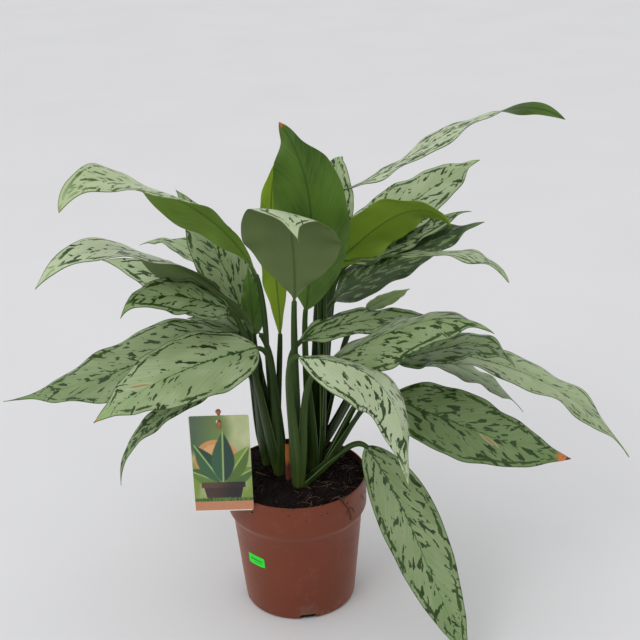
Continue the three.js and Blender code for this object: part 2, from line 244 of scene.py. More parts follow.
window_data = bpy.data.lights.new("window", "AREA")
window_data.energy = window_power
window_data.size = window_size
window = bpy.data.objects.new("window", window_data)
window_aim = Vector(window_target) - Vector(window_place)
window_turn = window_aim.to_track_quat("-Z", "Y").to_matrix().to_4x4()
window.matrix_world = Matrix.Translation(window_place) @ window_turn
scene.collection.objects.link(window)


# ---------------------------------------------------------------- pot
# The nursery pot: one thin shell of terracotta-coloured plastic, moulded with a collar and a rolled lip.
# Notches through its bottom edge drain it.
pot_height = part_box("pot")[1].z
rim_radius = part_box("pot")[1].x
base_radius = 0.068
collar_bottom = pot_height - 0.041
shoulder_bottom = collar_bottom - 0.008
body_top_radius = rim_radius - 0.006
pot_wall = 0.0016
floor_thickness = 0.0024
edge_rounding = 0.004
pot_sides = 160
notch_width = 0.020
notch_height = 0.0075
notch_depth = 0.03
notch_corner = 0.0012
first_notch_angle = math.radians(-82)


def body_radius_at(z):
    """The outer radius of the pot's narrowing body."""
    return base_radius + (body_top_radius - base_radius) * (z / shoulder_bottom)


def arc(middle, radius, start, end, steps):
    """Points on a round stretch of an outline, angles in degrees."""
    angles = [math.radians(start + (end - start) * i / steps) for i in range(steps + 1)]
    return [(middle[0] + radius * math.cos(a), middle[1] + radius * math.sin(a)) for a in angles]


def turned(name, outline, sides):
    """A closed mesh turned from (radius, height) points that start and end on the axis."""
    mesh = bpy.data.meshes.new(name)
    form = bmesh.new()
    rings = []
    for radius, height in outline:
        if radius == 0:
            rings.append([form.verts.new((0, 0, height))] * sides)
            continue
        angles = [2 * math.pi * i / sides for i in range(sides)]
        rings.append([form.verts.new((radius * math.cos(a), radius * math.sin(a), height)) for a in angles])
    for low, high in zip(rings, rings[1:]):
        for i in range(sides):
            j = (i + 1) % sides
            around = [low[i], low[j], high[j], high[i]]
            form.faces.new(list(dict.fromkeys(around)))
    for face in form.faces:
        face.smooth = True
    form.to_mesh(mesh)
    form.free()
    return mesh


lip = 0.0008
pot_outline = [
    (0, 0),
    (base_radius - 0.006, 0),
    *arc((base_radius - edge_rounding + 0.0002, edge_rounding), edge_rounding, -85, -5, 6),
    (body_radius_at(0.03), 0.03),
    (body_radius_at(0.06), 0.06),
    (body_radius_at(0.09), 0.09),
    (body_top_radius - 0.0001, shoulder_bottom - 0.001),
    (body_top_radius + 0.0005, shoulder_bottom + 0.0004),
    (rim_radius - 0.0014, collar_bottom - 0.0012),
    (rim_radius - 0.0006, collar_bottom + 0.0008),
    (rim_radius - 0.0004, collar_bottom + 0.003),
    (rim_radius - 0.0002, pot_height - 0.005),
    *arc((rim_radius - lip, pot_height - lip), lip, 0, 180, 8),
    (rim_radius - pot_wall, pot_height - 0.004),
    (rim_radius - pot_wall - 0.0006, collar_bottom),
    (body_top_radius - pot_wall, shoulder_bottom - 0.001),
    (body_radius_at(floor_thickness) - pot_wall, floor_thickness),
    (0, floor_thickness),
]
pot_shell = new_piece("pot_shell", turned("pot_shell", pot_outline, pot_sides))

notch_form = bmesh.new()
for i in range(4):
    turn = Matrix.Rotation(first_notch_angle + i * math.pi / 2, 4, "Z")
    shape = Matrix.Diagonal((notch_depth, notch_width, notch_height * 2, 1))
    bmesh.ops.create_cube(notch_form, size=1, matrix=turn @ Matrix.Translation((base_radius, 0, 0)) @ shape)
upright = [edge for edge in notch_form.edges if abs(edge.verts[0].co.z - edge.verts[1].co.z) < 1e-6]
bmesh.ops.bevel(notch_form, geom=upright, offset=notch_corner, segments=3, affect="EDGES")
notch_mesh = bpy.data.meshes.new("notches")
notch_form.to_mesh(notch_mesh)
notch_form.free()
notches = new_piece("notches", notch_mesh)


def finished(source, name, material=None):
    """The source with its modifiers applied, as a plain mesh of its own; the source is removed."""
    surroundings = bpy.context.evaluated_depsgraph_get()
    mesh = bpy.data.meshes.new_from_object(source.evaluated_get(surroundings), depsgraph=surroundings)
    bpy.data.objects.remove(source)
    mesh.name = name
    return new_piece(name, mesh, material)


def placed_parts(tree, vector):
    """The X, Y and Z of a vector, as fields."""
    parts = node(tree, "ShaderNodeSeparateXYZ", {0: vector})
    return [Field(part) for part in parts.outputs]


cut = pot_shell.modifiers.new("notches", "BOOLEAN")
cut.operation = "DIFFERENCE"
cut.object = notches
cut.solver = "EXACT"

pot_material, tree, shader = new_material("pot_plastic", roughness=0.42)
shader.inputs["Sheen Weight"].default_value = 0.2
shader.inputs["Sheen Roughness"].default_value = 0.4
shader.inputs["Sheen Tint"].default_value = colour(255, 196, 164)
shader.inputs["Specular IOR Level"].default_value = 0.32
place = object_place(tree)
height = placed_parts(tree, place)[2]
tint = cloudy(place, 9.0, detail=3.0)
moulded = blend(tint, colour(116, 54, 29), colour(98, 42, 22))
low_band = 1.0 - height.step(0.0, 0.05)
high_band = height.step(pot_height - 0.014, pot_height)
powder = cloudy(place, 45.0, detail=6.0, roughness=0.65)
dust = powder.step(0.52, 0.78) * (0.12 + 0.35 * low_band + 0.1 * high_band)
powdered = blend(dust, moulded, colour(160, 122, 104))
specks = cloudy(place, 420.0, detail=2.0).step(0.70, 0.76) * (0.2 + 0.6 * low_band + 0.7 * high_band)
speckled = blend(specks, powdered, colour(46, 30, 26))
smear = cloudy(place, 70.0, detail=5.0, stretch=(1.0, 1.0, 2.2)).step(0.55, 0.68) * high_band
soiled = blend(smear * 0.7, speckled, colour(58, 34, 28))
level_place = place * (1.0, 1.0, 0.0)
across = Field(node(tree, "ShaderNodeVectorMath", {0: level_place}, operation="LENGTH").outputs["Value"])
above_shoulder = height.step(collar_bottom + 0.001, collar_bottom + 0.004)
inside = (1.0 - across.step(rim_radius - 0.0016, rim_radius - 0.0010)) * above_shoulder
paint(shader, "Base Color", blend(inside * 0.8, soiled, colour(44, 26, 22)))
scuffs = cloudy(place, 30.0, detail=5.0, stretch=(1.0, 1.0, 4.0))
paint(shader, "Roughness", 0.32 + 0.22 * scuffs + 0.25 * dust)
mould_marks = cloudy(place, 160.0, detail=3.0) + 2.0 * cloudy(place, 12.0, stretch=(1.0, 1.0, 0.3))
raised(shader, mould_marks, 0.12, 0.0006)

pot = finished(pot_shell, "nursery_pot", pot_material)
bpy.data.objects.remove(notches)
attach(pot, "root")
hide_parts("pot")


# ---------------------------------------------------------------- soil
# Dark peat fills the pot nearly to its lip, a little lower at the right. Lumps, crumbs and pale root fibres
# lie on it.
soil_height = 0.162
soil_heap = 0.003
soil_rings = 54
soil_wall_gap = 0.0006
clod_height = 0.0034
grit_height = 0.0009
whole_turn = 6.283
crumb_sizes = {"Count": 1500.0, "Smallest": 0.0005, "Largest": 0.0024, "Seed": 3}
fibre_sizes = {"Count": 150.0, "Smallest": 0.25, "Largest": 1.1, "Seed": 11, "Thickness": 0.0002}


def soil_surface(x, y):
    """Height of the soil's even surface, as the packed soil has it."""
    out = math.hypot(x, y) / rim_radius
    lumps = 0.0016 * math.sin(x / 0.009 + 1) * math.cos(y / 0.011)
    lumps += 0.0009 * math.sin(x / 0.0043 + y / 0.0061)
    lean = -0.0032 * (x / rim_radius) + 0.0008 * (y / rim_radius)
    return soil_height + soil_heap * (1 - out * out) + lumps + lean


soil_rim = rim_radius - pot_wall - soil_wall_gap
soil_outline = [
    (0, floor_thickness + 0.0003),
    (body_radius_at(floor_thickness) - pot_wall - 0.0003, floor_thickness + 0.0003),
    (body_top_radius - pot_wall - 0.0004, shoulder_bottom - 0.0013),
    (soil_rim - 0.0005, collar_bottom - 0.0002),
    (soil_rim, soil_height - 0.012),
    *[(soil_rim * (1 - i / soil_rings), soil_height) for i in range(soil_rings + 1)],
]
soil_mesh = turned("soil", soil_outline, 144)
for vertex in soil_mesh.vertices:
    if vertex.co.z < soil_height - 0.001:
        continue
    spot = Vector((vertex.co.x, vertex.co.y, 0.0))
    clods = noise.fractal(spot * 95, 0.9, 2.1, 4) * clod_height + noise.noise(spot * 330) * grit_height
    edge = min(1.0, (soil_rim - spot.length) / 0.006)
    vertex.co.z = soil_surface(vertex.co.x, vertex.co.y) + clods * edge - 0.0015 * (1 - edge)

soil_material, tree, shader = new_material("peat", roughness=0.95)
shader.inputs["Specular IOR Level"].default_value = 0.2
place = object_place(tree)
crumbs = cloudy(place, 380.0, detail=5.0, roughness=0.7)
patches = cloudy(place, 60.0, detail=4.0)
ground = blend(patches, colour(14, 8, 8), colour(32, 20, 18))
paint(shader, "Base Color", blend(crumbs.step(0.58, 0.74), ground, colour(58, 38, 30)))
raised(shader, crumbs + 0.5 * patches, 0.9, 0.0016)
soil = new_piece("soil", soil_mesh, soil_material)
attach(soil, "root")
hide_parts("soil")


def geometry_tree(name, inputs):
    """A geometry tree with these inputs and a material: the tree, a field for each input, and its output."""
    kinds = {float: "NodeSocketFloat", int: "NodeSocketInt", Vector: "NodeSocketVector"}
    made = bpy.data.node_groups.new(name, "GeometryNodeTree")
    made.interface.new_socket("Geometry", in_out="INPUT", socket_type="NodeSocketGeometry")
    for label, value in {**inputs, "Material": None}.items():
        kind = kinds.get(type(value), "NodeSocketMaterial")
        made.interface.new_socket(label, in_out="INPUT", socket_type=kind).default_value = value
    made.interface.new_socket("Geometry", in_out="OUTPUT", socket_type="NodeSocketGeometry")
    given = made.nodes.new("NodeGroupInput")
    fields = {socket.name: Field(socket) for socket in given.outputs if socket.name}
    return made, fields, made.nodes.new("NodeGroupOutput")


def end_tree(tree, given, output, geometry):
    """Ends a tree: instances made real, and the material set."""
    real = node(tree, "GeometryNodeRealizeInstances", {0: geometry})
    coated = node(tree, "GeometryNodeSetMaterial", {0: real.outputs[0], "Material": given["Material"]})
    tree.links.new(coated.outputs[0], output.inputs[0])


def grow(name, tree, values, material, base=None):
    """A plain piece made by a geometry tree with its inputs set to these values."""
    values = {**values, "Material": material}
    source = new_piece(name, base or bpy.data.meshes.new(name))
    modifier = source.modifiers.new("made", "NODES")
    modifier.node_group = tree
    for item in tree.interface.items_tree:
        if item.in_out == "INPUT" and item.name in values:
            modifier[item.identifier] = values[item.name]
    return finished(source, name)


def point_parts(tree):
    """The X, Y and Z of the points of a geometry tree, as fields."""
    return placed_parts(tree, node(tree, "GeometryNodeInputPosition").outputs[0])


def scatter(tree, given, shape, tilt, thinned=1.0):
    """Shapes set at random on the upper faces of the tree's own geometry, as instances."""
    facing = placed_parts(tree, node(tree, "GeometryNodeInputNormal").outputs[0])[2]
    height = point_parts(tree)[2]
    upper = (height - (soil_height - 0.008)).step(0.0, 0.0001) * (facing - 0.5).step(0.0, 0.01)
    density = given["Count"] / (math.pi * soil_rim**2) * thinned
    spread = node(tree, "GeometryNodeDistributePointsOnFaces", {
        "Mesh": given["Geometry"], "Density": density, "Seed": given["Seed"], "Selection": upper,
    })
    turn = node(tree, "FunctionNodeRandomValue", {
        0: (-tilt, -tilt, 0.0), 1: (tilt, tilt, whole_turn), "Seed": given["Seed"],
    }, data_type="FLOAT_VECTOR")
    size = node(tree, "FunctionNodeRandomValue", {
        2: given["Smallest"], 3: given["Largest"], "Seed": given["Seed"],
    }, data_type="FLOAT")
    copies = node(tree, "GeometryNodeInstanceOnPoints", {
        "Points": spread.outputs[0], "Instance": shape, "Rotation": turn.outputs[0], "Scale": size.outputs[1],
    })
    return copies.outputs[0]


litter_tree, given, output = geometry_tree("soil_crumbs", crumb_sizes)
lump = node(litter_tree, "GeometryNodeMeshIcoSphere", {"Radius": 1.0, "Subdivisions": 2})
bent = Field(node(litter_tree, "ShaderNodeTexNoise", {"Scale": 1.3}).outputs[1])
shaped = node(litter_tree, "GeometryNodeSetPosition", {
    "Geometry": lump.outputs[0], "Offset": (bent - 0.5) * 1.3,
})
end_tree(litter_tree, given, output, scatter(litter_tree, given, shaped.outputs[0], 3.0))
crumb_piece = grow("soil_crumbs", litter_tree, crumb_sizes, soil_material, soil_mesh.copy())
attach(crumb_piece, "root")

fibre_material, tree, shader = new_material("root_fibre", roughness=0.8)
place = object_place(tree)
pale_stretch = cloudy(place, 60.0).step(0.35, 0.65)
paint(shader, "Base Color", blend(pale_stretch, colour(58, 40, 30), colour(156, 122, 94)))


def bent_path(tree, steps, start, middle, end):
    """A path from start to end, drawn towards middle."""
    return node(tree, "GeometryNodeCurveQuadraticBezier", {
        "Resolution": steps, "Start": start, "Middle": middle, "End": end,
    }).outputs[0]


def rod(tree, path, radius, sides):
    """A capped round rod along a path."""
    section = node(tree, "GeometryNodeCurvePrimitiveCircle", {"Resolution": sides, "Radius": radius})
    return node(tree, "GeometryNodeCurveToMesh", {
        "Curve": path, "Profile Curve": section.outputs[0], "Fill Caps": True,
    }).outputs[0]


fibre_tree, given, output = geometry_tree("root_fibres", fibre_sizes)
strand = bent_path(fibre_tree, 6, (-0.009, 0.0, 0.0), (0.0, 0.0036, 0.0024), (0.009, -0.001, 0.0003))
thread = rod(fibre_tree, strand, given["Thickness"], 4)
x, y = point_parts(fibre_tree)[:2]
rootier = 0.15 + 1.6 * (x - 0.4 * y).step(0.0, 0.05)
fibres = scatter(fibre_tree, given, thread, 0.15, rootier)
lifted = node(fibre_tree, "GeometryNodeSetPosition", {"Geometry": fibres, "Offset": (0.0, 0.0, 0.0008)})
end_tree(fibre_tree, given, output, lifted.outputs[0])
fibre_piece = grow("root_fibres", fibre_tree, fibre_sizes, fibre_material, soil_mesh.copy())
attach(fibre_piece, "root")


# ---------------------------------------------------------------- leaf blades
# Each leaf is a thin long blade with a drawn-out tip, silver green above with dark broken streaks along its
# side veins, and plain green beneath. A rib under it carries on from the stalk.
stems = {
    "back_left": (-0.031, 0.025),
    "left": (-0.017, 0.002),
    "front": (0.001, -0.025),
    "right": (0.023, 0.007),
    "back_right": (0.019, 0.050),
}
blade_half_thickness = 0.00028
rib_depth = 0.0011
weld_distance = 0.000002
sharp_angle = 0.9

leaves = []


def leaf(name, stem, width, midrib, roll=0, fold=8, broadest=0.37, sharpness=1.67, wave=0.002, droop=0.0,
         tail=0.3, dense=0.0, green=0.0, glow=0.0, burn=0.0, scar=(0.0, 0.0)):
    """One leaf: its stem, its width and four points of its midrib, a third of the way apart.

    roll turns the face and fold lifts the two halves, in degrees, at all four points or at each. broadest is
    the part of the length where the blade is broadest, sharpness draws out its ends, droop lets its tip hang,
    and tail is the share of its width that is gone where the tip runs out thin.
    dense adds dark blots, and green takes away silver: above zero partly the leaf's own greener colour and
    partly painted shade on leaves that stand in shade, below zero a painted sheen that whitens the silver.
    glow is light through the underside. burn is the length of a scorched tip, and scar the distances of a
    bruise from the foot and from the midrib.
    """
    at_each = [list(value) if isinstance(value, tuple) else [value] * 4 for value in (roll, fold)]
    roll, fold = [[math.radians(angle) for angle in angles] for angles in at_each]
    a, b, c, d = [Vector(point) for point in midrib]
    handles = [(18 * b - 5 * a - 9 * c + 2 * d) / 6, (18 * c + 2 * a - 9 * b - 5 * d) / 6]
    leaves.append({
        "name": name, "stem": stem, "foot": a, "handles": handles, "tip": d, "width": width, "roll": roll,
        "fold": fold, "broadest": broadest, "sharpness": sharpness, "wave": wave, "droop": droop,
        "tail": tail, "seed": len(leaves) + 1, "dense": dense, "green": green, "glow": glow, "burn": burn,
        "scar reach": scar[0], "scar spread": scar[1],
    })


leaf("left_01", "left", 0.072, [
    (-0.036, 0, 0.424), (-0.094, -0.040, 0.516), (-0.170, -0.086, 0.564), (-0.222, -0.130, 0.560),
], roll=(-14, 34, -4, -10), fold=(10, -17, 7, 10), broadest=0.63, sharpness=2, droop=0.014, dense=0.5,
    green=-0.5, glow=0.25)
leaf("left_02", "back_left", 0.080, [
    (-0.052, 0.046, 0.336), (-0.080, 0.062, 0.418), (-0.108, 0.088, 0.466), (-0.134, 0.116, 0.492),
], roll=-5, dense=0.7, green=0.3)
leaf("left_03", "left", 0.062, [
    (-0.035, 0.016, 0.343), (-0.112, -0.018, 0.438), (-0.186, -0.065, 0.483), (-0.261, -0.106, 0.470),
], roll=(-14, 36, -2, -12), fold=(10, -18, 7, 10), broadest=0.55, sharpness=1.9, droop=0.014, dense=0.2,
    green=-0.5, glow=-0.8)
leaf("left_04", "back_left", 0.062, [
    (-0.074, 0.062, 0.346), (-0.132, 0.076, 0.382), (-0.182, 0.086, 0.404), (-0.226, 0.092, 0.414),
], roll=-25, dense=0.4, green=-0.2)
leaf("left_05", "left", 0.060, [
    (-0.068, -0.020, 0.391), (-0.109, -0.048, 0.418), (-0.149, -0.066, 0.428), (-0.180, -0.082, 0.418),
], roll=-28, droop=0.008, dense=0.5, green=0.3)
leaf("left_06", "back_left", 0.034, [
    (-0.060, 0.005, 0.350), (-0.078, 0.002, 0.364), (-0.098, -0.002, 0.372), (-0.118, -0.005, 0.376),
], roll=-10, wave=0.001)
leaf("left_07", "back_left", 0.050, [
    (-0.064, 0.106, 0.352), (-0.104, 0.126, 0.396), (-0.146, 0.144, 0.416), (-0.190, 0.160, 0.408),
])
leaf("left_08", "left", 0.088, [
    (-0.038, -0.026, 0.346), (-0.092, -0.064, 0.348), (-0.152, -0.096, 0.336), (-0.212, -0.126, 0.308),
], roll=-30, fold=6, burn=0.006, scar=(0.146, 0.006))
leaf("left_09", "back_left", 0.100, [
    (-0.058, 0.020, 0.336), (-0.142, 0.012, 0.326), (-0.228, 0.006, 0.298), (-0.341, -0.004, 0.276),
], roll=-25, broadest=0.34, sharpness=2.2, wave=0.003, tail=0.65, dense=0.35, green=0.4)
leaf("left_10", "back_left", 0.030, [
    (-0.066, 0.016, 0.298), (-0.128, 0.008, 0.266), (-0.186, 0, 0.224), (-0.212, -0.010, 0.166),
], roll=(-30, -27, -23, -20), droop=0.005, dense=0.4, green=0.35)
leaf("top_01", "right", 0.086, [
    (0.018, 0.004, 0.378), (0.027, -0.020, 0.460), (0.024, -0.042, 0.542), (-0.002, -0.065, 0.615),
], broadest=0.5, burn=0.006)
leaf("top_02", "front", 0.108, [
    (0.006, -0.038, 0.406), (0.007, -0.062, 0.488), (0.005, -0.096, 0.528), (0.015, -0.136, 0.510),
], roll=(-12, -17, -18, -16), fold=1, broadest=0.5, sharpness=3, green=-0.4, glow=-0.8)
leaf("top_03", "back_left", 0.040, [
    (-0.014, 0.030, 0.336), (-0.016, 0.028, 0.408), (-0.018, 0.024, 0.488), (-0.006, 0.020, 0.554),
], broadest=0.55, glow=1.0)
leaf("top_04", "right", 0.088, [
    (0.043, 0.030, 0.414), (0.092, 0.018, 0.464), (0.140, 0.005, 0.494), (0.182, -0.015, 0.480),
], roll=(-42, -43, -39, -30), fold=(4, 5, 7, 8), broadest=0.5, glow=0.6)
leaf("top_05", "right", 0.050, [
    (0.064, 0.020, 0.516), (0.134, 0.016, 0.550), (0.212, 0.008, 0.595), (0.304, 0, 0.601),
], roll=(-6, 5, -8, -100), fold=5, broadest=0.5, droop=0.008, dense=0.6, green=-0.35)
leaf("top_06", "back_right", 0.044, [
    (0.058, 0.122, 0.422), (0.058, 0.134, 0.468), (0.060, 0.150, 0.507), (0.068, 0.168, 0.509),
])
leaf("top_07", "back_right", 0.080, [
    (0.068, 0.092, 0.426), (0.130, 0.110, 0.458), (0.184, 0.128, 0.488), (0.234, 0.148, 0.515),
], roll=22, droop=0.006, dense=0.3, green=-0.1)
leaf("top_08", "back_right", 0.083, [
    (0.051, 0.056, 0.368), (0.104, 0.062, 0.404), (0.164, 0.072, 0.432), (0.232, 0.082, 0.452),
], roll=12, dense=2.2, green=0.75)
leaf("top_09", "right", 0.046, [
    (0.055, 0.012, 0.434), (0.126, -0.002, 0.444), (0.194, -0.020, 0.450), (0.244, -0.035, 0.428),
], roll=(-12, -16, -9, 8), fold=(8, 6, 4, 2), broadest=0.6, droop=0.008, dense=0.3, green=-0.1)
leaf("top_10", "back_right", 0.030, [
    (0.090, 0.060, 0.354), (0.108, 0.070, 0.358), (0.126, 0.082, 0.362), (0.145, 0.096, 0.364),
], wave=0.0004, glow=0.9)
leaf("top_11", "back_left", 0.030, [
    (-0.044, 0.028, 0.338), (-0.045, 0.026, 0.371), (-0.046, 0.024, 0.400), (-0.047, 0.023, 0.426),
], fold=10, wave=0.001)
leaf("top_12", "back_right", 0.034, [
    (0.070, 0.084, 0.404), (0.120, 0.081, 0.424), (0.172, 0.079, 0.450), (0.216, 0.080, 0.474),
], roll=22, droop=0.008, dense=0.8, green=0.3)
leaf("right_01", "front", 0.046, [
    (0.011, -0.022, 0.351), (0.051, -0.008, 0.361), (0.104, 0.006, 0.364), (0.175, 0.016, 0.360),
], roll=15, dense=0.5, green=0.4)
leaf("right_02", "front", 0.098, [
    (0.032, -0.055, 0.332), (0.094, -0.072, 0.374), (0.158, -0.086, 0.400), (0.220, -0.096, 0.390),
], roll=10, fold=(-10, -11, -11, -12), broadest=0.33, droop=0.004, dense=0.7, green=0.35)
leaf("right_03", "front", 0.082, [
    (0.009, -0.086, 0.362), (0.064, -0.140, 0.374), (0.104, -0.178, 0.352), (0.120, -0.200, 0.264),
], roll=(25, 28, 30, 30), fold=(-30, -48, -60, -60), broadest=0.5, dense=0.35, green=-0.3)
leaf("right_04", "right", 0.062, [
    (0.120, -0.010, 0.318), (0.170, -0.020, 0.334), (0.218, -0.030, 0.342), (0.254, -0.040, 0.318),
], roll=10, dense=0.8, green=0.6)
leaf("right_05", "back_right", 0.072, [
    (0.126, 0.035, 0.318), (0.222, 0.020, 0.302), (0.316, 0.005, 0.264), (0.398, -0.020, 0.186),
], roll=(5, 3, 1, 0), broadest=0.58, sharpness=1.5, wave=0.003, tail=0.6, dense=-0.2, green=0.05,
    scar=(0.205, 0.008))
leaf("right_06", "back_right", 0.056, [
    (0.127, 0.055, 0.298), (0.180, 0.055, 0.286), (0.230, 0.052, 0.260), (0.282, 0.050, 0.220),
], roll=4, droop=0.006, tail=0.7, dense=-0.8, green=0.15)
leaf("right_07", "right", 0.084, [
    (0.112, -0.020, 0.274), (0.176, -0.038, 0.254), (0.248, -0.052, 0.228), (0.318, -0.065, 0.212),
], roll=40, wave=0.003, tail=0.0, dense=0.45, green=0.75, burn=0.017, scar=(0.125, 0.006))
leaf("right_08", "front", 0.071, [
    (0.084, -0.025, 0.214), (0.126, -0.080, 0.154), (0.158, -0.136, 0.090), (0.198, -0.174, 0.006),
], roll=40, fold=(-8, -9, -11, -12), wave=0.003, dense=0.3, green=0.45)


def named(tree, name):
    """A field that a tree reads back from an attribute it has stored."""
    return Field(node(tree, "GeometryNodeInputNamedAttribute", {0: name}, data_type="FLOAT").outputs[0])


def store(tree, geometry, name, value, domain="POINT", selection=True):
    """The geometry with a value kept under a name, for the tree and the material to read."""
    kept = node(tree, "GeometryNodeStoreNamedAttribute", {
        "Geometry": geometry, "Selection": selection, "Name": name, "Value": value,
    }, data_type="FLOAT", domain=domain)
    return kept.outputs[0]


def keep(tree, geometry, values):
    """The geometry with each of these values kept on its points under its name."""
    for name, value in values.items():
        geometry = store(tree, geometry, name, value)
    return geometry


def flat_grid(tree, columns, rows):
    """A flat square grid, and its X and Y from -0.5 to 0.5 as fields."""
    grid = node(tree, "GeometryNodeMeshGrid", {
        "Size X": 1.0, "Size Y": 1.0, "Vertices X": columns, "Vertices Y": rows,
    })
    return [grid.outputs[0], *point_parts(tree)[:2]]


def swung_path(tree, start, start_handle, end_handle, end):
    """A path from start to end, steered by two handles."""
    return node(tree, "GeometryNodeCurvePrimitiveBezierSegment", {
        "Resolution": 64, "Start": start, "Start Handle": start_handle, "End Handle": end_handle, "End": end,
    }, mode="POSITION").outputs[0]


def along_path(tree, path, part):
    """The place at a part of a path's length, 0 to 1, and the way that the path runs there."""
    sample = node(tree, "GeometryNodeSampleCurve", {
        "Curves": path, "Factor": part,
    }, mode="FACTOR", data_type="FLOAT")
    return Field(sample.outputs["Position"]), Field(sample.outputs["Tangent"])


def moved_to(tree, geometry, place):
    """The geometry with its points at this place."""
    return node(tree, "GeometryNodeSetPosition", {"Geometry": geometry, "Position": place}).outputs[0]


def together(tree, *parts):
    """Several geometries as one."""
    whole = node(tree, "GeometryNodeJoinGeometry")
    for part in parts:
        tree.links.new(part, whole.inputs[0])
    return whole.outputs[0]


def welded(tree, geometry):
    """The geometry with the points that meet made one."""
    return node(tree, "GeometryNodeMergeByDistance", {
        "Geometry": geometry, "Distance": weld_distance,
    }).outputs[0]


def smoothed(tree, geometry):
    """The geometry shaded smooth."""
    return node(tree, "GeometryNodeSetShadeSmooth", {"Geometry": geometry, "Shade Smooth": True}).outputs[0]


def smoothed_but_crisp(tree, geometry):
    """The geometry shaded smooth, with its sharp edges left crisp."""
    corner = Field(node(tree, "GeometryNodeInputMeshEdgeAngle").outputs[0])
    return node(tree, "GeometryNodeSetShadeSmooth", {
        "Geometry": smoothed(tree, geometry), "Selection": corner.step(sharp_angle, sharp_angle + 0.01),
        "Shade Smooth": False,
    }, domain="EDGE").outputs[0]


stations = ("Foot", "Lower", "Upper", "Tip")
blade_sizes = {"Width": 0.08, "Broadest": 0.37, "Sharpness": 1.67, "Wave": 0.002, "Droop": 0.0, "Tail": 0.0}
marks = ("Seed", "Dense", "Green", "Glow", "Burn", "Scar Reach", "Scar Spread")
blade_tree, given, output = geometry_tree("leaf_blade", {
    "Foot": Vector((0, 0, 0)), "Foot Handle": Vector((0.1, 0, 0.1)), "Tip Handle": Vector((0.1, 0, 0.1)),
    "Tip": Vector((0.2, 0, 0)), **{f"Roll {station}": 0.0 for station in stations},
    **{f"Fold {station}": 0.1 for station in stations}, **blade_sizes, **{mark: 0.0 for mark in marks},
})
sheet, x, y = flat_grid(blade_tree, 81, 37)
sheet = keep(blade_tree, sheet, {"along": x + 0.5, "across": 2.0 * y * (0.55 + 0.9 * y.size())})
along, across = named(blade_tree, "along"), named(blade_tree, "across")
midrib = swung_path(blade_tree, given["Foot"], given["Foot Handle"], given["Tip Handle"], given["Tip"])
length = Field(node(blade_tree, "GeometryNodeCurveLength", {0: midrib}).outputs[0])
rib_place, rib_way = along_path(blade_tree, midrib, along)

swell = (along / given["Broadest"]) ** (given["Sharpness"] * given["Broadest"])
taper = ((1.0 - along) / (1.0 - given["Broadest"])) ** (given["Sharpness"] * (1.0 - given["Broadest"]))
drawn_out = 1.0 - given["Tail"] * along.step(0.79, 0.91)
half = (given["Width"] * 0.5 * swell * taper * drawn_out).at_least(0.0018 - 0.0015 * along)


def at_stations(label):
    """A value given at four points of the length, a third apart, between them."""
    from_foot, from_tip = along, 1.0 - along
    lower, upper = 1.0 - 3.0 * along, 2.0 - 3.0 * along
    value = given[f"{label} Foot"] * lower * upper * from_tip * 0.5
    value = value + given[f"{label} Lower"] * from_foot * upper * from_tip * 4.5
    value = value - given[f"{label} Upper"] * from_foot * lower * from_tip * 4.5
    return value + given[f"{label} Tip"] * from_foot * lower * upper * 0.5


upward = Field(node(blade_tree, "ShaderNodeCombineXYZ", {2: 1.0}).outputs[0])
sideways = (given["Tip"] - given["Foot"]).cross(upward).unit()
level_face = sideways.cross(rib_way).unit()
roll = at_stations("Roll")
face = level_face * roll.cosine() + rib_way.cross(level_face) * roll.sine()
edgeward = rib_way.cross(face)

fold = at_stations("Fold")
spread = across * half
lift = spread.size() * fold.sine() - across * across * half * 0.12
ripple = given["Wave"] * (along * 21.0 + across * 1.3).sine()
ripple = ripple + given["Wave"] * 0.5 * (along * 37.0 + given["Seed"] + across * 2.0).sine()
ripple = ripple * across * across * (half / 0.012).at_most(1.0)
hang = ((along - 0.84) / 0.16).at_least(0.0)
middle = rib_place + edgeward * (spread * fold.cosine()) + face * (lift + ripple)
middle = middle - upward * (given["Droop"] * hang * hang)

rib = (1.0 - (spread / 0.0024).size()).at_least(0.0)
under_rib = rib_depth * (1.0 - along) * rib * rib * (3.0 - 2.0 * rib)
over_rib = 0.00025 * (1.0 - along) * (1.0 - (spread / 0.0018).size()).at_least(0.0)
below = middle - face * (blade_half_thickness + under_rib)
up_through = face * (2 * blade_half_thickness + under_rib - over_rib)

sheet = keep(blade_tree, sheet, {
    "spread": spread, "inset": half - spread.size(), "reach": along * length,
    "tipward": (1.0 - along) * length, **{mark.lower(): given[mark] for mark in marks},
})
through = node(blade_tree, "GeometryNodeCaptureAttribute")
through.capture_items.new("VECTOR", "up")
through.domain = "POINT"
blade_tree.links.new(sheet, through.inputs[0])
blade_tree.links.new(up_through.socket, through.inputs[1])
laid = moved_to(blade_tree, through.outputs[0], below)
thick = node(blade_tree, "GeometryNodeExtrudeMesh", {
    "Mesh": laid, "Offset": through.outputs[1], "Individual": False,
}, mode="FACES")
upper = store(blade_tree, thick.outputs["Mesh"], "under", 0.0, "FACE")
upper = store(blade_tree, upper, "under", 0.5, "FACE", thick.outputs["Side"])
under = store(blade_tree, laid, "under", 1.0, "FACE")
turned_over = node(blade_tree, "GeometryNodeFlipFaces", {0: under})
closed = welded(blade_tree, together(blade_tree, upper, turned_over.outputs[0]))
end_tree(blade_tree, given, output, smoothed_but_crisp(blade_tree, closed))


def read(tree, name):
    """A field that a material reads from an attribute of the mesh."""
    return Field(node(tree, "ShaderNodeAttribute", attribute_name=name).outputs["Fac"])


def joined(tree, x, y, z):
    """A vector field of three fields or numbers."""
    return Field(node(tree, "ShaderNodeCombineXYZ", {0: x, 1: y, 2: z}).outputs[0])


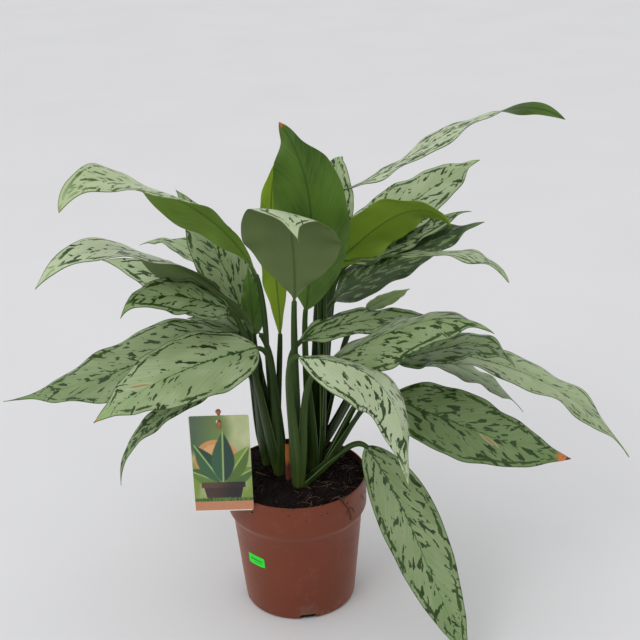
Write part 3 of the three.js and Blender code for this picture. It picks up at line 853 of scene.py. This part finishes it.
leaf_material, tree, shader = new_material("leaf", roughness=0.45)
shader.inputs["Specular IOR Level"].default_value = 0.32
along, reach, tipward, spread, inset, under = [
    read(tree, name) for name in ("along", "reach", "tipward", "spread", "inset", "under")
]
seed, dense, green, glow, burn, scar_reach, scar_spread = [read(tree, mark.lower()) for mark in marks]
out = spread.size()
side = spread.step(-0.00001, 0.00001)
vein = reach - out * 2.2
down_vein = reach * 2.2 + out
other = seed * 7.0 + side * 31.0
strokes = cloudy(joined(tree, vein * 190.0, out * 60.0, other + 4.0), 1.0, detail=3.0, roughness=0.6)
tone = cloudy(joined(tree, reach * 16.0, spread * 34.0, seed * 3.0), 1.0, detail=1.5)

blot_place = joined(tree, vein * 80.0, down_vein * 25.0, other)
blots = cloudy(blot_place, 1.0, detail=4.0, roughness=0.52, distortion=0.35)
flocks = cloudy(joined(tree, vein * 24.0, down_vein * 10.0, other + 2.0), 1.0, detail=1.0)
level = 0.594 - 0.065 * dense - 0.22 * (flocks - 0.5) - 0.03 * out.near(0.0, 0.006)
blot = (blots - level).step(0.0, 0.02)
dashes = cloudy(joined(tree, inset * 230.0, reach * 60.0, other + 9.0), 1.0, detail=4.0, roughness=0.62)
dash_row = inset.near(0.0054, 0.0044) * (1.0 - out.near(0.0, 0.004))
dash = (dashes - (0.72 - 0.06 * dense - 0.26 * dash_row)).step(0.0, 0.02)
edge_line = 1.0 - inset.step(0.0005, 0.0012)
jagged = cloudy(joined(tree, reach * 260.0, spread * 300.0, seed), 1.0, detail=3.0)
rib_width = 0.0075 * (jagged - 0.44).at_least(0.0) * (1.0 - along.step(0.3, 0.7)) + 0.0004 * (1.0 - along)
rib_line = 1.0 - (out - rib_width).step(0.0, 0.0003)
rib_strength = 0.95 - 0.45 * along.step(0.3, 0.7)
short_of_tip = 1.0 - (along - 0.86).step(0.0, 0.1) * 0.6
marked = blot.at_least(dash).at_least(rib_line * rib_strength) * short_of_tip
marked = marked.at_least(edge_line * 0.85)

silver = blend(strokes.step(0.3, 0.7), colour(142, 160, 116), colour(157, 172, 133))
silver = blend(tone.step(0.35, 0.7) * 0.55, silver, colour(120, 140, 90))
silver = blend(out.near(0.0, 0.012) * 0.35, silver, colour(122, 152, 96))
silver = blend(along.step(0.82, 1.0) * 0.5, silver, colour(140, 172, 88))
# Below zero, green whitens the silver as a painted sheen. Above zero it darkens the silver to green, partly
# the leaf's own colour and partly painted shade on leaves that stand in shade.
silver = blend(green * -1.0, silver, colour(204, 212, 184))
silver = blend(green, silver, blend(strokes.step(0.3, 0.7), colour(80, 104, 52), colour(90, 114, 62)))
deep = blend(blots.step(0.52, 0.7), colour(46, 72, 22), colour(28, 52, 14))
upper_colour = blend(glow, blend(marked, silver, deep), colour(112, 142, 54))

plain = blend(tone.step(0.3, 0.7), colour(58, 88, 28), colour(82, 116, 38))
plain = blend(strokes.step(0.35, 0.65) * 0.45, plain, colour(96, 124, 56))
plain = blend(glow, plain, colour(138, 168, 42))
plain = blend(glow * -1.0, plain, colour(86, 100, 58))
rib_under = 1.0 - out.step(0.0007, 0.0018)
under_colour = blend(rib_under * 0.6, plain, colour(48, 78, 28))
leaf_colour = blend(under.step(0.4, 0.6), upper_colour, under_colour)

charred = burn - tipward + 0.02 * (jagged - 0.5) - out * 0.35
leaf_colour = blend(charred.step(-0.002, 0.0015), leaf_colour, colour(182, 108, 56))
leaf_colour = blend((charred - burn * 0.55).step(-0.001, 0.003), leaf_colour, colour(62, 48, 34))
scar_side = (spread * scar_spread).step(0.0, 0.0000001)
scar_long = (out - scar_spread.size()) / 0.006
scar_off = (vein - scar_reach + 2.2 * scar_spread.size()) / 0.009
scar = (1.0 - scar_long * scar_long - scar_off * scar_off).at_least(0.0) * scar_side
leaf_colour = blend(scar.step(0.0, 0.7) * 0.45, leaf_colour, colour(188, 184, 140))
scab = (1.0 - scar_long * scar_long - (scar_off * 1.9) ** 2.0).at_least(0.0) * scar_side
leaf_colour = blend((scab + 1.6 * (strokes - 0.5)).step(0.3, 0.6) * 0.7, leaf_colour, colour(140, 96, 64))
paint(shader, "Base Color", leaf_colour)
paint(shader, "Roughness", 0.38 + 0.16 * strokes + 0.06 * under)
raised(shader, strokes + 0.4 * tone - 0.2 * blot, 0.3, 0.0006)

for row in leaves:
    blade = grow(f"blade_{row['name']}", blade_tree, {
        "Foot": row["foot"], "Foot Handle": row["handles"][0], "Tip Handle": row["handles"][1],
        "Tip": row["tip"],
        **{f"Roll {station}": angle for station, angle in zip(stations, row["roll"])},
        **{f"Fold {station}": angle for station, angle in zip(stations, row["fold"])},
        **{label: float(row[label.lower()]) for label in (*blade_sizes, *marks)},
    }, leaf_material)
    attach(blade, "root")
    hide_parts(f"leaf_{row['name']}")


# ---------------------------------------------------------------- stems and leaf stalks
# Each stem is a short cane wrapped by the broad sheathing feet of its stalks. A stalk is smooth, grooved on
# its inner side, and narrows to the neck that carries the blade.
cane_radius = 0.0085
crown_height = 0.022
stem_depth = 0.075
stalk_foot_radius = 0.008
stalk_neck_radius = 0.0032
neck_length = 0.040
neck_overlap = 0.004
foot_spread = 0.0025
slim_flare = 0.1
broad_flare = 0.85
pale_stalks = ("right_02", "right_03")
pale_share = 0.15

stalk_tree, given, output = geometry_tree("leaf_stalk", {
    "Start": Vector((0, 0, 0)), "Shin": Vector((0, 0, 0.1)), "Neck": Vector((0, 0, 0.2)),
    "End": Vector((0, 0, 0.3)), "Inward": Vector((1, 0, 0)), "Foot Radius": 0.01, "Neck Radius": 0.003,
    "Flare": 0.5, "Seed": 0.0, "Pale": 0.0,
})
skin, x, y = flat_grid(stalk_tree, 61, 33)
skin = keep(stalk_tree, skin, {"along": x + 0.5, "around": y, "seed": given["Seed"], "pale": given["Pale"]})
along, around = named(stalk_tree, "along"), named(stalk_tree, "around")
path = swung_path(stalk_tree, given["Start"], given["Shin"], given["Neck"], given["End"])
path_place, path_way = along_path(stalk_tree, path, along)
flat_side = path_way.cross(given["Inward"]).unit()
inner = flat_side.cross(path_way)
angle = around * (2 * math.pi)
radius = given["Neck Radius"] + (given["Foot Radius"] - given["Neck Radius"]) * (1.0 - along)
ends = (along / 0.004).at_most(1.0) * ((1.0 - along) / 0.012).at_most(1.0)
hollow = 1.0 - (along - 0.35).step(0.0, 0.5)
inside = angle.cosine().at_least(0.0)
wings = angle.sine() * angle.sine()
flare = along.step(0.0, 0.24) * (1.0 - (along - 0.28).step(0.0, 0.5))
gathered = 0.70 + 0.22 * along.step(0.0, 0.1)
wide = angle.sine() * radius * (gathered + given["Flare"] * flare) * ends
deep = (angle.cosine() * 0.95 - inside * (0.25 + 1.15 * hollow) + wings * 0.25 * hollow) * radius * ends
closed = welded(stalk_tree, moved_to(stalk_tree, skin, path_place + flat_side * wide + inner * deep))
end_tree(stalk_tree, given, output, smoothed(stalk_tree, closed))

stalk_material, tree, shader = new_material("stalk", roughness=0.45)
shader.inputs["Specular IOR Level"].default_value = 0.22
place = object_place(tree)
along, around, seed, pale = [read(tree, name) for name in ("along", "around", "seed", "pale")]
girth = around * (2 * math.pi)
lines = cloudy(joined(tree, along * 3.0, girth.sine() * 6.0, seed + girth.cosine() * 4.0), 1.0, detail=4.0)
green = blend(lines.step(0.35, 0.65), colour(28, 45, 12), colour(48, 70, 20))
green = blend(pale, green, colour(90, 114, 54))
green = blend(along.step(0.6, 1.0) * 0.5, green, colour(54, 80, 30))
skirt = around.size().near(0.25, 0.035) * (1.0 - along.step(0.3, 0.75))
green = blend(skirt * 0.8, green, colour(122, 148, 94))
green = blend((1.0 - along.step(0.0, 0.16)) * 0.5, green, colour(84, 96, 40))
paint(shader, "Base Color", green)
paint(shader, "Roughness", 0.42 + 0.16 * lines)
raised(shader, lines, 0.3, 0.0005)


def stalk_curve(row):
    """The four points of a stalk's path, from the crown of its stem into the foot of its blade."""
    x, y = stems[row["stem"]]
    foot = row["foot"]
    along = (row["handles"][0] - foot).normalized()
    out = Vector((foot.x - x, foot.y - y, 0))
    start = Vector((x, y, soil_height + 0.001)) + out.normalized() * foot_spread
    reach = (foot - start).length
    lean = min(0.85 * out.length / (foot.z - start.z), 1.2)
    rise = (out.normalized() * lean + Vector((0, 0, 1))).normalized()
    end = foot + along * neck_overlap
    neck = end - along * min(0.28 * reach, neck_length)
    return start, start + rise * (0.5 * reach), neck, end, -out.normalized()


for row in leaves:
    start, shin, neck, end, inward = stalk_curve(row)
    stalk = grow(f"stalk_{row['name']}", stalk_tree, {
        "Start": start, "Shin": shin, "Neck": neck, "End": end, "Inward": inward + Vector((0, 0, 0.3)),
        "Foot Radius": stalk_foot_radius, "Neck Radius": stalk_neck_radius,
        "Flare": slim_flare if row["stem"] == "front" else broad_flare, "Seed": row["seed"] * 3.0,
        "Pale": pale_share if row["name"] in pale_stalks else 0.0,
    }, stalk_material)
    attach(stalk, "root")
    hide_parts(f"stem_{row['stem']}")

for name, (x, y) in stems.items():
    cane_outline = [
        (0, soil_height - stem_depth),
        (cane_radius * 0.9, soil_height - stem_depth),
        (cane_radius, soil_height - stem_depth + 0.004),
        (cane_radius, soil_height - 0.006),
        (cane_radius * 0.86, soil_height),
        (cane_radius * 0.66, soil_height + crown_height * 0.4),
        (cane_radius * 0.3, soil_height + crown_height),
        (0, soil_height + crown_height * 1.1),
    ]
    cane_mesh = turned(f"cane_{name}", cane_outline, 32)
    cane_mesh.transform(Matrix.Translation((x, y, 0)))
    cane = new_piece(f"cane_{name}", cane_mesh, stalk_material)
    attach(cane, "root")
    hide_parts(f"stem_{name}")


# ---------------------------------------------------------------- dry sheath
# A withered leaf base that stands between the stems: a thin strip curled lengthwise, fibrous, with a torn
# top.
sheath_sizes = {
    "Foot": Vector((-0.009, -0.014, 0.150)), "Bend": Vector((-0.008, -0.012, 0.186)),
    "Top": Vector((-0.009, -0.010, 0.222)), "Foot Radius": 0.0048, "Top Radius": 0.0034, "Opening": 0.3,
    "Tear": 0.12, "Thickness": 0.0004,
}


def thickened(tree, sheet, thickness):
    """An open sheet made a closed plate of this thickness."""
    thick = node(tree, "GeometryNodeExtrudeMesh", {
        "Mesh": sheet, "Offset Scale": thickness, "Individual": False,
    }, mode="FACES")
    back = node(tree, "GeometryNodeFlipFaces", {0: sheet})
    return welded(tree, together(tree, thick.outputs["Mesh"], back.outputs[0]))


sheath_tree, given, output = geometry_tree("dry_sheath", sheath_sizes)
strip, x, y = flat_grid(sheath_tree, 49, 33)
strip = keep(sheath_tree, strip, {"along": x + 0.5, "around": y})
along, around = named(sheath_tree, "along"), named(sheath_tree, "around")
ragged = cloudy(joined(sheath_tree, around * 14.0, 3.0, 0.0), 1.0, detail=2.0)
climb = along * (1.0 - given["Tear"] * ragged * 2.0)
path = bent_path(sheath_tree, 32, given["Foot"], given["Bend"], given["Top"])
crumple = cloudy(joined(sheath_tree, around * 9.0, along * 4.0, 7.0), 1.0, detail=2.0) - 0.5
radius = given["Foot Radius"] + (given["Top Radius"] - given["Foot Radius"]) * along
radius = radius * (1.0 + 0.55 * crumple)
curl = around * (1.0 - given["Opening"]) * (2 * math.pi) + 0.5 * along - 1.9
ring = joined(sheath_tree, curl.cosine() * radius, curl.sine() * radius, 0.0)
curled = moved_to(sheath_tree, strip, along_path(sheath_tree, path, climb)[0] + ring)
closed = thickened(sheath_tree, curled, given["Thickness"])
end_tree(sheath_tree, given, output, smoothed(sheath_tree, closed))

sheath_material, tree, shader = new_material("dry_sheath", roughness=0.75)
along, around = read(tree, "along"), read(tree, "around")
fibrous = cloudy(joined(tree, around * 60.0, along * 3.0, 0.0), 1.0, detail=4.0, roughness=0.6)
withered = blend(fibrous.step(0.35, 0.65), colour(150, 82, 24), colour(196, 124, 48))
withered = blend((along - 0.62 + 0.3 * (fibrous - 0.5)).step(-0.06, 0.06), colour(96, 40, 22), withered)
paint(shader, "Base Color", withered)
raised(shader, fibrous, 0.5, 0.0008)
sheath = grow("dry_sheath_strip", sheath_tree, sheath_sizes, sheath_material)
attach(sheath, "root")
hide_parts("dry_sheath")


# ---------------------------------------------------------------- plant tag
# A glossy printed card with rounded corners and a punched hole. It hangs upright at the front left, from the
# peg of its stake. Its print is a generic plant drawing.
card_middle = Vector((-0.083, -0.0744, 0.224))
card_width = 0.068
card_height = 0.124
card_sizes = {
    "Width": card_width, "Height": card_height, "Thickness": 0.0008, "Corner": 0.003, "Hole": 0.003,
    "Hole Drop": 0.008, "Place": card_middle,
}

card_tree, given, output = geometry_tree("plant_tag", card_sizes)
sheet = node(card_tree, "GeometryNodeCurvePrimitiveQuadrilateral", {0: given["Width"], 1: given["Height"]})
rounded = node(card_tree, "GeometryNodeFilletCurve", {
    "Curve": sheet.outputs[0], "Count": 6, "Radius": given["Corner"],
}, mode="POLY")
hole = node(card_tree, "GeometryNodeCurvePrimitiveCircle", {"Resolution": 40, "Radius": given["Hole"]})
drop = joined(card_tree, 0.0, given["Height"] * 0.5 - given["Hole Drop"], 0.0)
punched = node(card_tree, "GeometryNodeTransform", {"Geometry": hole.outputs[0], "Translation": drop})
outline = together(card_tree, rounded.outputs[0], punched.outputs[0])
face = node(card_tree, "GeometryNodeFillCurve", {0: outline}, mode="TRIANGLES")
closed = thickened(card_tree, face.outputs[0], given["Thickness"])
x, y, z = point_parts(card_tree)
stood_place = given["Place"] + joined(card_tree, x, given["Thickness"] * 0.5 - z, y)
end_tree(card_tree, given, output, moved_to(card_tree, closed, stood_place))

card_material, tree, shader = new_material("tag_print", roughness=0.25)
x, y, z = placed_parts(tree, object_place(tree))
right = x - card_middle.x
high = z - card_middle.z
grain = cloudy(joined(tree, right * 90.0, high * 60.0, 0.0), 1.0, detail=3.0)
haze = cloudy(joined(tree, right * 30.0, high * 22.0, 5.0), 1.0, detail=2.0)


def disc(across, up, radius, solid=0.94):
    """1 in a disc on the card, fading to 0 over the rest of its area from the solid part to its edge."""
    from_middle = (right - across) * (right - across) + (high - up) * (high - up)
    return 1.0 - (from_middle / radius**2).step(solid, 1.0)


slope = high + 0.35 * right + 0.03 * (haze - 0.5)
ground = blend(slope.step(-0.03, 0.05), colour(118, 142, 60), colour(172, 180, 132))
ground = blend(haze.step(0.5, 0.62) * 0.4, ground, colour(192, 196, 154))
shade = blend(right.step(-0.034, 0.01), colour(38, 78, 60), colour(96, 124, 48))
ground = blend(disc(-0.020, 0.044, 0.040, solid=0.35) * 0.85, ground, shade)


def printed_leaf(foot, angle, reach, width):
    """A drawn leaf on the card: its mask, and 0 to 1 from its one side to the other."""
    turn = math.radians(angle)
    over, up = right - foot[0], high - foot[1]
    along = (over * math.sin(turn) + up * math.cos(turn)) / reach
    off = (over * math.cos(turn) - up * math.sin(turn)) / width
    room = along * (1.0 - along) * (1.35 - 0.7 * along)
    return (room * 1.6 - off.size()).step(0.0, 0.05) * along.step(0.0, 0.02), off


tan = blend(grain, colour(206, 152, 98), colour(186, 124, 76))
print_colour = blend(disc(-0.005, 0.006, 0.0260), ground, tan)
print_colour = blend(disc(-0.005, 0.006, 0.0200) * 0.5, print_colour, colour(222, 178, 126))
fan = (
    (-64, 0.046, 0.027, (92, 122, 52), (62, 94, 44)),
    (62, 0.046, 0.027, (104, 132, 56), (70, 102, 46)),
    (-31, 0.062, 0.031, (54, 94, 60), (34, 70, 52)),
    (33, 0.060, 0.031, (112, 136, 54), (78, 106, 42)),
    (2, 0.070, 0.034, (48, 88, 62), (30, 62, 50)),
)
for angle, reach, width, light, dark in fan:
    mask, off = printed_leaf((0.001, -0.026), angle, reach, width)
    blade_print = blend(off.step(-0.03, 0.03), colour(*light), colour(*dark))
    blade_print = blend(off.size().near(0.0, 0.05) * 0.8, blade_print, colour(168, 190, 116))
    print_colour = blend(mask, print_colour, blade_print)
pot_side = (0.0195 + (high + 0.046) * 0.22 - (right - 0.001).size()).step(0.0, 0.0006)
pot_print = pot_side * (1.0 - (high + 0.024).step(0.0, 0.0006)) * high.step(-0.0475, -0.0470)
pot_brown = blend(right.step(-0.014, 0.016), colour(66, 48, 40), colour(30, 26, 26))
print_colour = blend(pot_print, print_colour, pot_brown)
lip_height = (high + 0.0275).near(0.0, 0.0045).step(0.1, 0.2)
pot_lip = (0.0255 - (right - 0.001).size()).step(0.0, 0.0006) * lip_height
lip_brown = blend(right.step(-0.014, 0.016), colour(86, 62, 50), colour(40, 32, 30))
print_colour = blend(pot_lip, print_colour, lip_brown)
turf = cloudy(joined(tree, right * 900.0, high * 160.0, 2.0), 1.0, detail=2.0)
turf_edge = -0.0445 + 0.007 * (turf - 0.5)
turf_green = blend(turf.step(0.4, 0.6), colour(46, 78, 34), colour(88, 120, 52))
print_colour = blend(1.0 - (high - turf_edge).step(-0.0003, 0.0004), print_colour, turf_green)
clay = blend(grain, colour(190, 132, 98), colour(178, 120, 86))
print_colour = blend(1.0 - high.step(-0.0492, -0.0488), print_colour, clay)
rim_left = right.step(-card_width / 2 + 0.0007, -card_width / 2 + 0.0012)
rim_low = high.step(-card_height / 2 + 0.0008, -card_height / 2 + 0.0014)
print_colour = blend(rim_left * rim_low, colour(224, 222, 214), print_colour)
front = 1.0 - (y - card_middle.y).step(-0.0003, -0.0002)
plain_back = blend(grain, colour(222, 220, 212), colour(212, 210, 202))
paint(shader, "Base Color", blend(front, plain_back, print_colour))
paint(shader, "Roughness", 0.22 + 0.12 * grain)
card = grow("plant_tag_card", card_tree, card_sizes, card_material)
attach(card, "root")
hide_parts("plant_tag")


# ---------------------------------------------------------------- tag holder
# The orange-brown plastic stake of the tag, pushed into the soil at the front left. A knob ends it above the
# card, and a peg through the card's hole carries a small tab that hooks over the hole.
stake_end = Vector((-0.083, -0.072, 0.287))
stake_radius = 0.0015
knob_radius = 0.003
peg_height = 0.278
tab_place = Vector((-0.083, -0.0758, 0.2748))
tab_size = (0.0045, 0.0014, 0.0096)
tab_rounding = 0.0006
stake_sizes = {
    "Foot": Vector((-0.057, -0.033, 0.120)), "Bend": Vector((-0.066, -0.046, 0.202)), "End": stake_end,
    "Radius": stake_radius, "Knob": Vector((-0.083, -0.072, 0.2895)), "Knob Radius": knob_radius,
    "Peg Start": Vector((stake_end.x, tab_place.y, peg_height)),
    "Peg End": Vector((stake_end.x, stake_end.y + 2 * stake_radius, peg_height)), "Peg Radius": 0.0016,
}

stake_tree, given, output = geometry_tree("tag_stake", stake_sizes)
path = bent_path(stake_tree, 28, given["Foot"], given["Bend"], given["End"])
along = Field(node(stake_tree, "GeometryNodeSplineParameter").outputs[0])
pointed = node(stake_tree, "GeometryNodeSetCurveRadius", {
    "Curve": path, "Radius": (0.35 + 5.0 * along).at_most(1.0),
})
shaft = rod(stake_tree, pointed.outputs[0], given["Radius"], 16)
peg_path = node(stake_tree, "GeometryNodeCurvePrimitiveLine", {
    "Start": given["Peg Start"], "End": given["Peg End"],
})
peg = rod(stake_tree, peg_path.outputs[0], given["Peg Radius"], 20)
ball = node(stake_tree, "GeometryNodeMeshUVSphere", {
    "Segments": 32, "Rings": 18, "Radius": given["Knob Radius"],
})
x, y, z = point_parts(stake_tree)
seam = 1.0 + 0.10 * y.near(0.0, 0.0006)
waist = seam * (1.0 - 0.12 * (z / knob_radius).near(-0.45, 0.3))
knob_place = given["Knob"] + joined(stake_tree, x * waist, y * waist, z * 1.1)
knob = moved_to(stake_tree, ball.outputs[0], knob_place)
end_tree(stake_tree, given, output, smoothed_but_crisp(stake_tree, together(stake_tree, shaft, peg, knob)))

stake_material, tree, shader = new_material("tag_stake", roughness=0.4)
place = object_place(tree)
mould = cloudy(place, 260.0, detail=3.0)
paint(shader, "Base Color", blend(mould.step(0.35, 0.65), colour(150, 84, 48), colour(178, 108, 68)))
raised(shader, mould, 0.15, 0.0004)
stake = grow("tag_stake_rod", stake_tree, stake_sizes, stake_material)

tab_form = bmesh.new()
tab_shape = Matrix.Translation(tab_place) @ Matrix.Diagonal((*tab_size, 1))
bmesh.ops.create_cube(tab_form, size=1, matrix=tab_shape)
bmesh.ops.bevel(tab_form, geom=list(tab_form.edges), offset=tab_rounding, segments=4, affect="EDGES")
for vertex in tab_form.verts:
    low = (tab_place.z - vertex.co.z) / tab_size[2]
    vertex.co.x = tab_place.x + (vertex.co.x - tab_place.x) * (0.92 - 0.12 * low)
for face in tab_form.faces:
    face.smooth = True
tab_mesh = bpy.data.meshes.new("tag_tab")
tab_form.to_mesh(tab_mesh)
tab_form.free()
tab = new_piece("tag_tab", tab_mesh, stake_material)
for piece in (stake, tab):
    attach(piece, "root")
    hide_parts("tag_holder")


# ---------------------------------------------------------------- price label
# A bright green paper sticker, bent round the pot at the front left, with the wavy ends that a label gun
# cuts and two plain dark lines.
label_gap = 0.0001
label_sizes = {
    "Width": 0.026, "Height": 0.014, "Middle": 0.080, "Angle": math.radians(-132), "Foot Radius": base_radius,
    "Top Radius": body_top_radius, "Top Height": shoulder_bottom, "Thickness": 0.0003,
}

label_tree, given, output = geometry_tree("price_label", label_sizes)
sticker, x, y = flat_grid(label_tree, 61, 25)
sticker = keep(label_tree, sticker, {"right": x, "high": y})
right, high = named(label_tree, "right"), named(label_tree, "high")
notched = 1.0 - 0.045 * (0.5 + 0.5 * (high * 31.4).cosine())
clipped = 1.0 - 0.10 * (right.size() * 2.0) ** 8.0
height = given["Middle"] + high * given["Height"] * clipped
widening = given["Top Radius"] - given["Foot Radius"]
curve_radius = given["Foot Radius"] + widening * height / given["Top Height"]
turn = given["Angle"] + right * notched * given["Width"] / curve_radius
lifted_edge = 0.00025 * ((right + 0.5) * (high + 0.5)) ** 4.0
radius = curve_radius + label_gap + lifted_edge
round_pot = joined(label_tree, turn.cosine() * radius, turn.sine() * radius, height)
closed = thickened(label_tree, moved_to(label_tree, sticker, round_pot), given["Thickness"])
end_tree(label_tree, given, output, closed)

label_material, tree, shader = new_material("label_paper", roughness=0.6)
right, high = read(tree, "right"), read(tree, "high")
fleck = cloudy(joined(tree, right * 30.0, high * 16.0, 0.0), 1.0, detail=3.0)
upper_reach = (right.size() - 0.33).near(-0.33, 0.4).step(0.0, 0.05)
upper_line = (high - 0.06).near(0.0, 0.11).step(0.3, 0.5) * upper_reach
lower_line = (high + 0.2).near(0.0, 0.05).step(0.3, 0.5) * (right - 0.12).near(0.0, 0.24).step(0.0, 0.05)
ink = upper_line.at_least(lower_line) * (0.5 + 0.5 * fleck.step(0.35, 0.5))
paper = blend(fleck, colour(30, 232, 52), colour(12, 214, 36))
paint(shader, "Base Color", blend(ink, paper, colour(8, 56, 20)))
label = grow("price_label_sticker", label_tree, label_sizes, label_material)
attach(label, "root")
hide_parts("price_label")


# ---------------------------------------------------------------- stray root
# A dark thin root from the soil hangs over the pot's lip at the front right and branches down its collar.
root_strands = (
    ("main", 0.00075, (0.0400, -0.0600, 0.1600), (0.0500, -0.0765, 0.1860), (0.0573, -0.0634, 0.1580)),
    ("lower", 0.00060, (0.0572, -0.0635, 0.1590), (0.0640, -0.0580, 0.1480), (0.0640, -0.0567, 0.1330)),
    ("left", 0.00038, (0.0625, -0.0585, 0.1500), (0.0600, -0.0615, 0.1470), (0.0588, -0.0622, 0.1440)),
    ("right", 0.00038, (0.0622, -0.0586, 0.1520), (0.0665, -0.0540, 0.1490), (0.0680, -0.0518, 0.1410)),
    ("upper", 0.00030, (0.0540, -0.0668, 0.1660), (0.0700, -0.0500, 0.1760), (0.0810, -0.0275, 0.1430)),
)
root_tree, given, output = geometry_tree("stray_root", {
    "Start": Vector((0, 0, 0)), "Bend": Vector((0, 0, 0.1)), "End": Vector((0, 0, 0.2)), "Radius": 0.001,
    "Seed": 0.0,
})
path = bent_path(root_tree, 22, given["Start"], given["Bend"], given["End"])
along = Field(node(root_tree, "GeometryNodeSplineParameter").outputs[0])
kinks = node(root_tree, "ShaderNodeTexNoise", {
    "Vector": joined(root_tree, along * 5.0, given["Seed"], 0.0), "Scale": 1.0,
})
out_of_line = (Field(kinks.outputs[1]) - 0.5) * 0.0016
kinked = node(root_tree, "GeometryNodeSetPosition", {"Geometry": path, "Offset": out_of_line})
thinned = node(root_tree, "GeometryNodeSetCurveRadius", {
    "Curve": kinked.outputs[0], "Radius": 1.0 - 0.65 * along,
})
end_tree(root_tree, given, output, rod(root_tree, thinned.outputs[0], given["Radius"], 8))

root_material, tree, shader = new_material("dark_root", roughness=0.85)
bark = cloudy(object_place(tree), 700.0, detail=3.0)
paint(shader, "Base Color", blend(bark, colour(44, 24, 18), colour(84, 50, 36)))
for name, radius, start, bend, end in root_strands:
    strand = grow(f"stray_root_{name}", root_tree, {
        "Start": Vector(start), "Bend": Vector(bend), "End": Vector(end), "Radius": radius,
        "Seed": radius * 9000.0,
    }, root_material)
    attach(strand, "root")
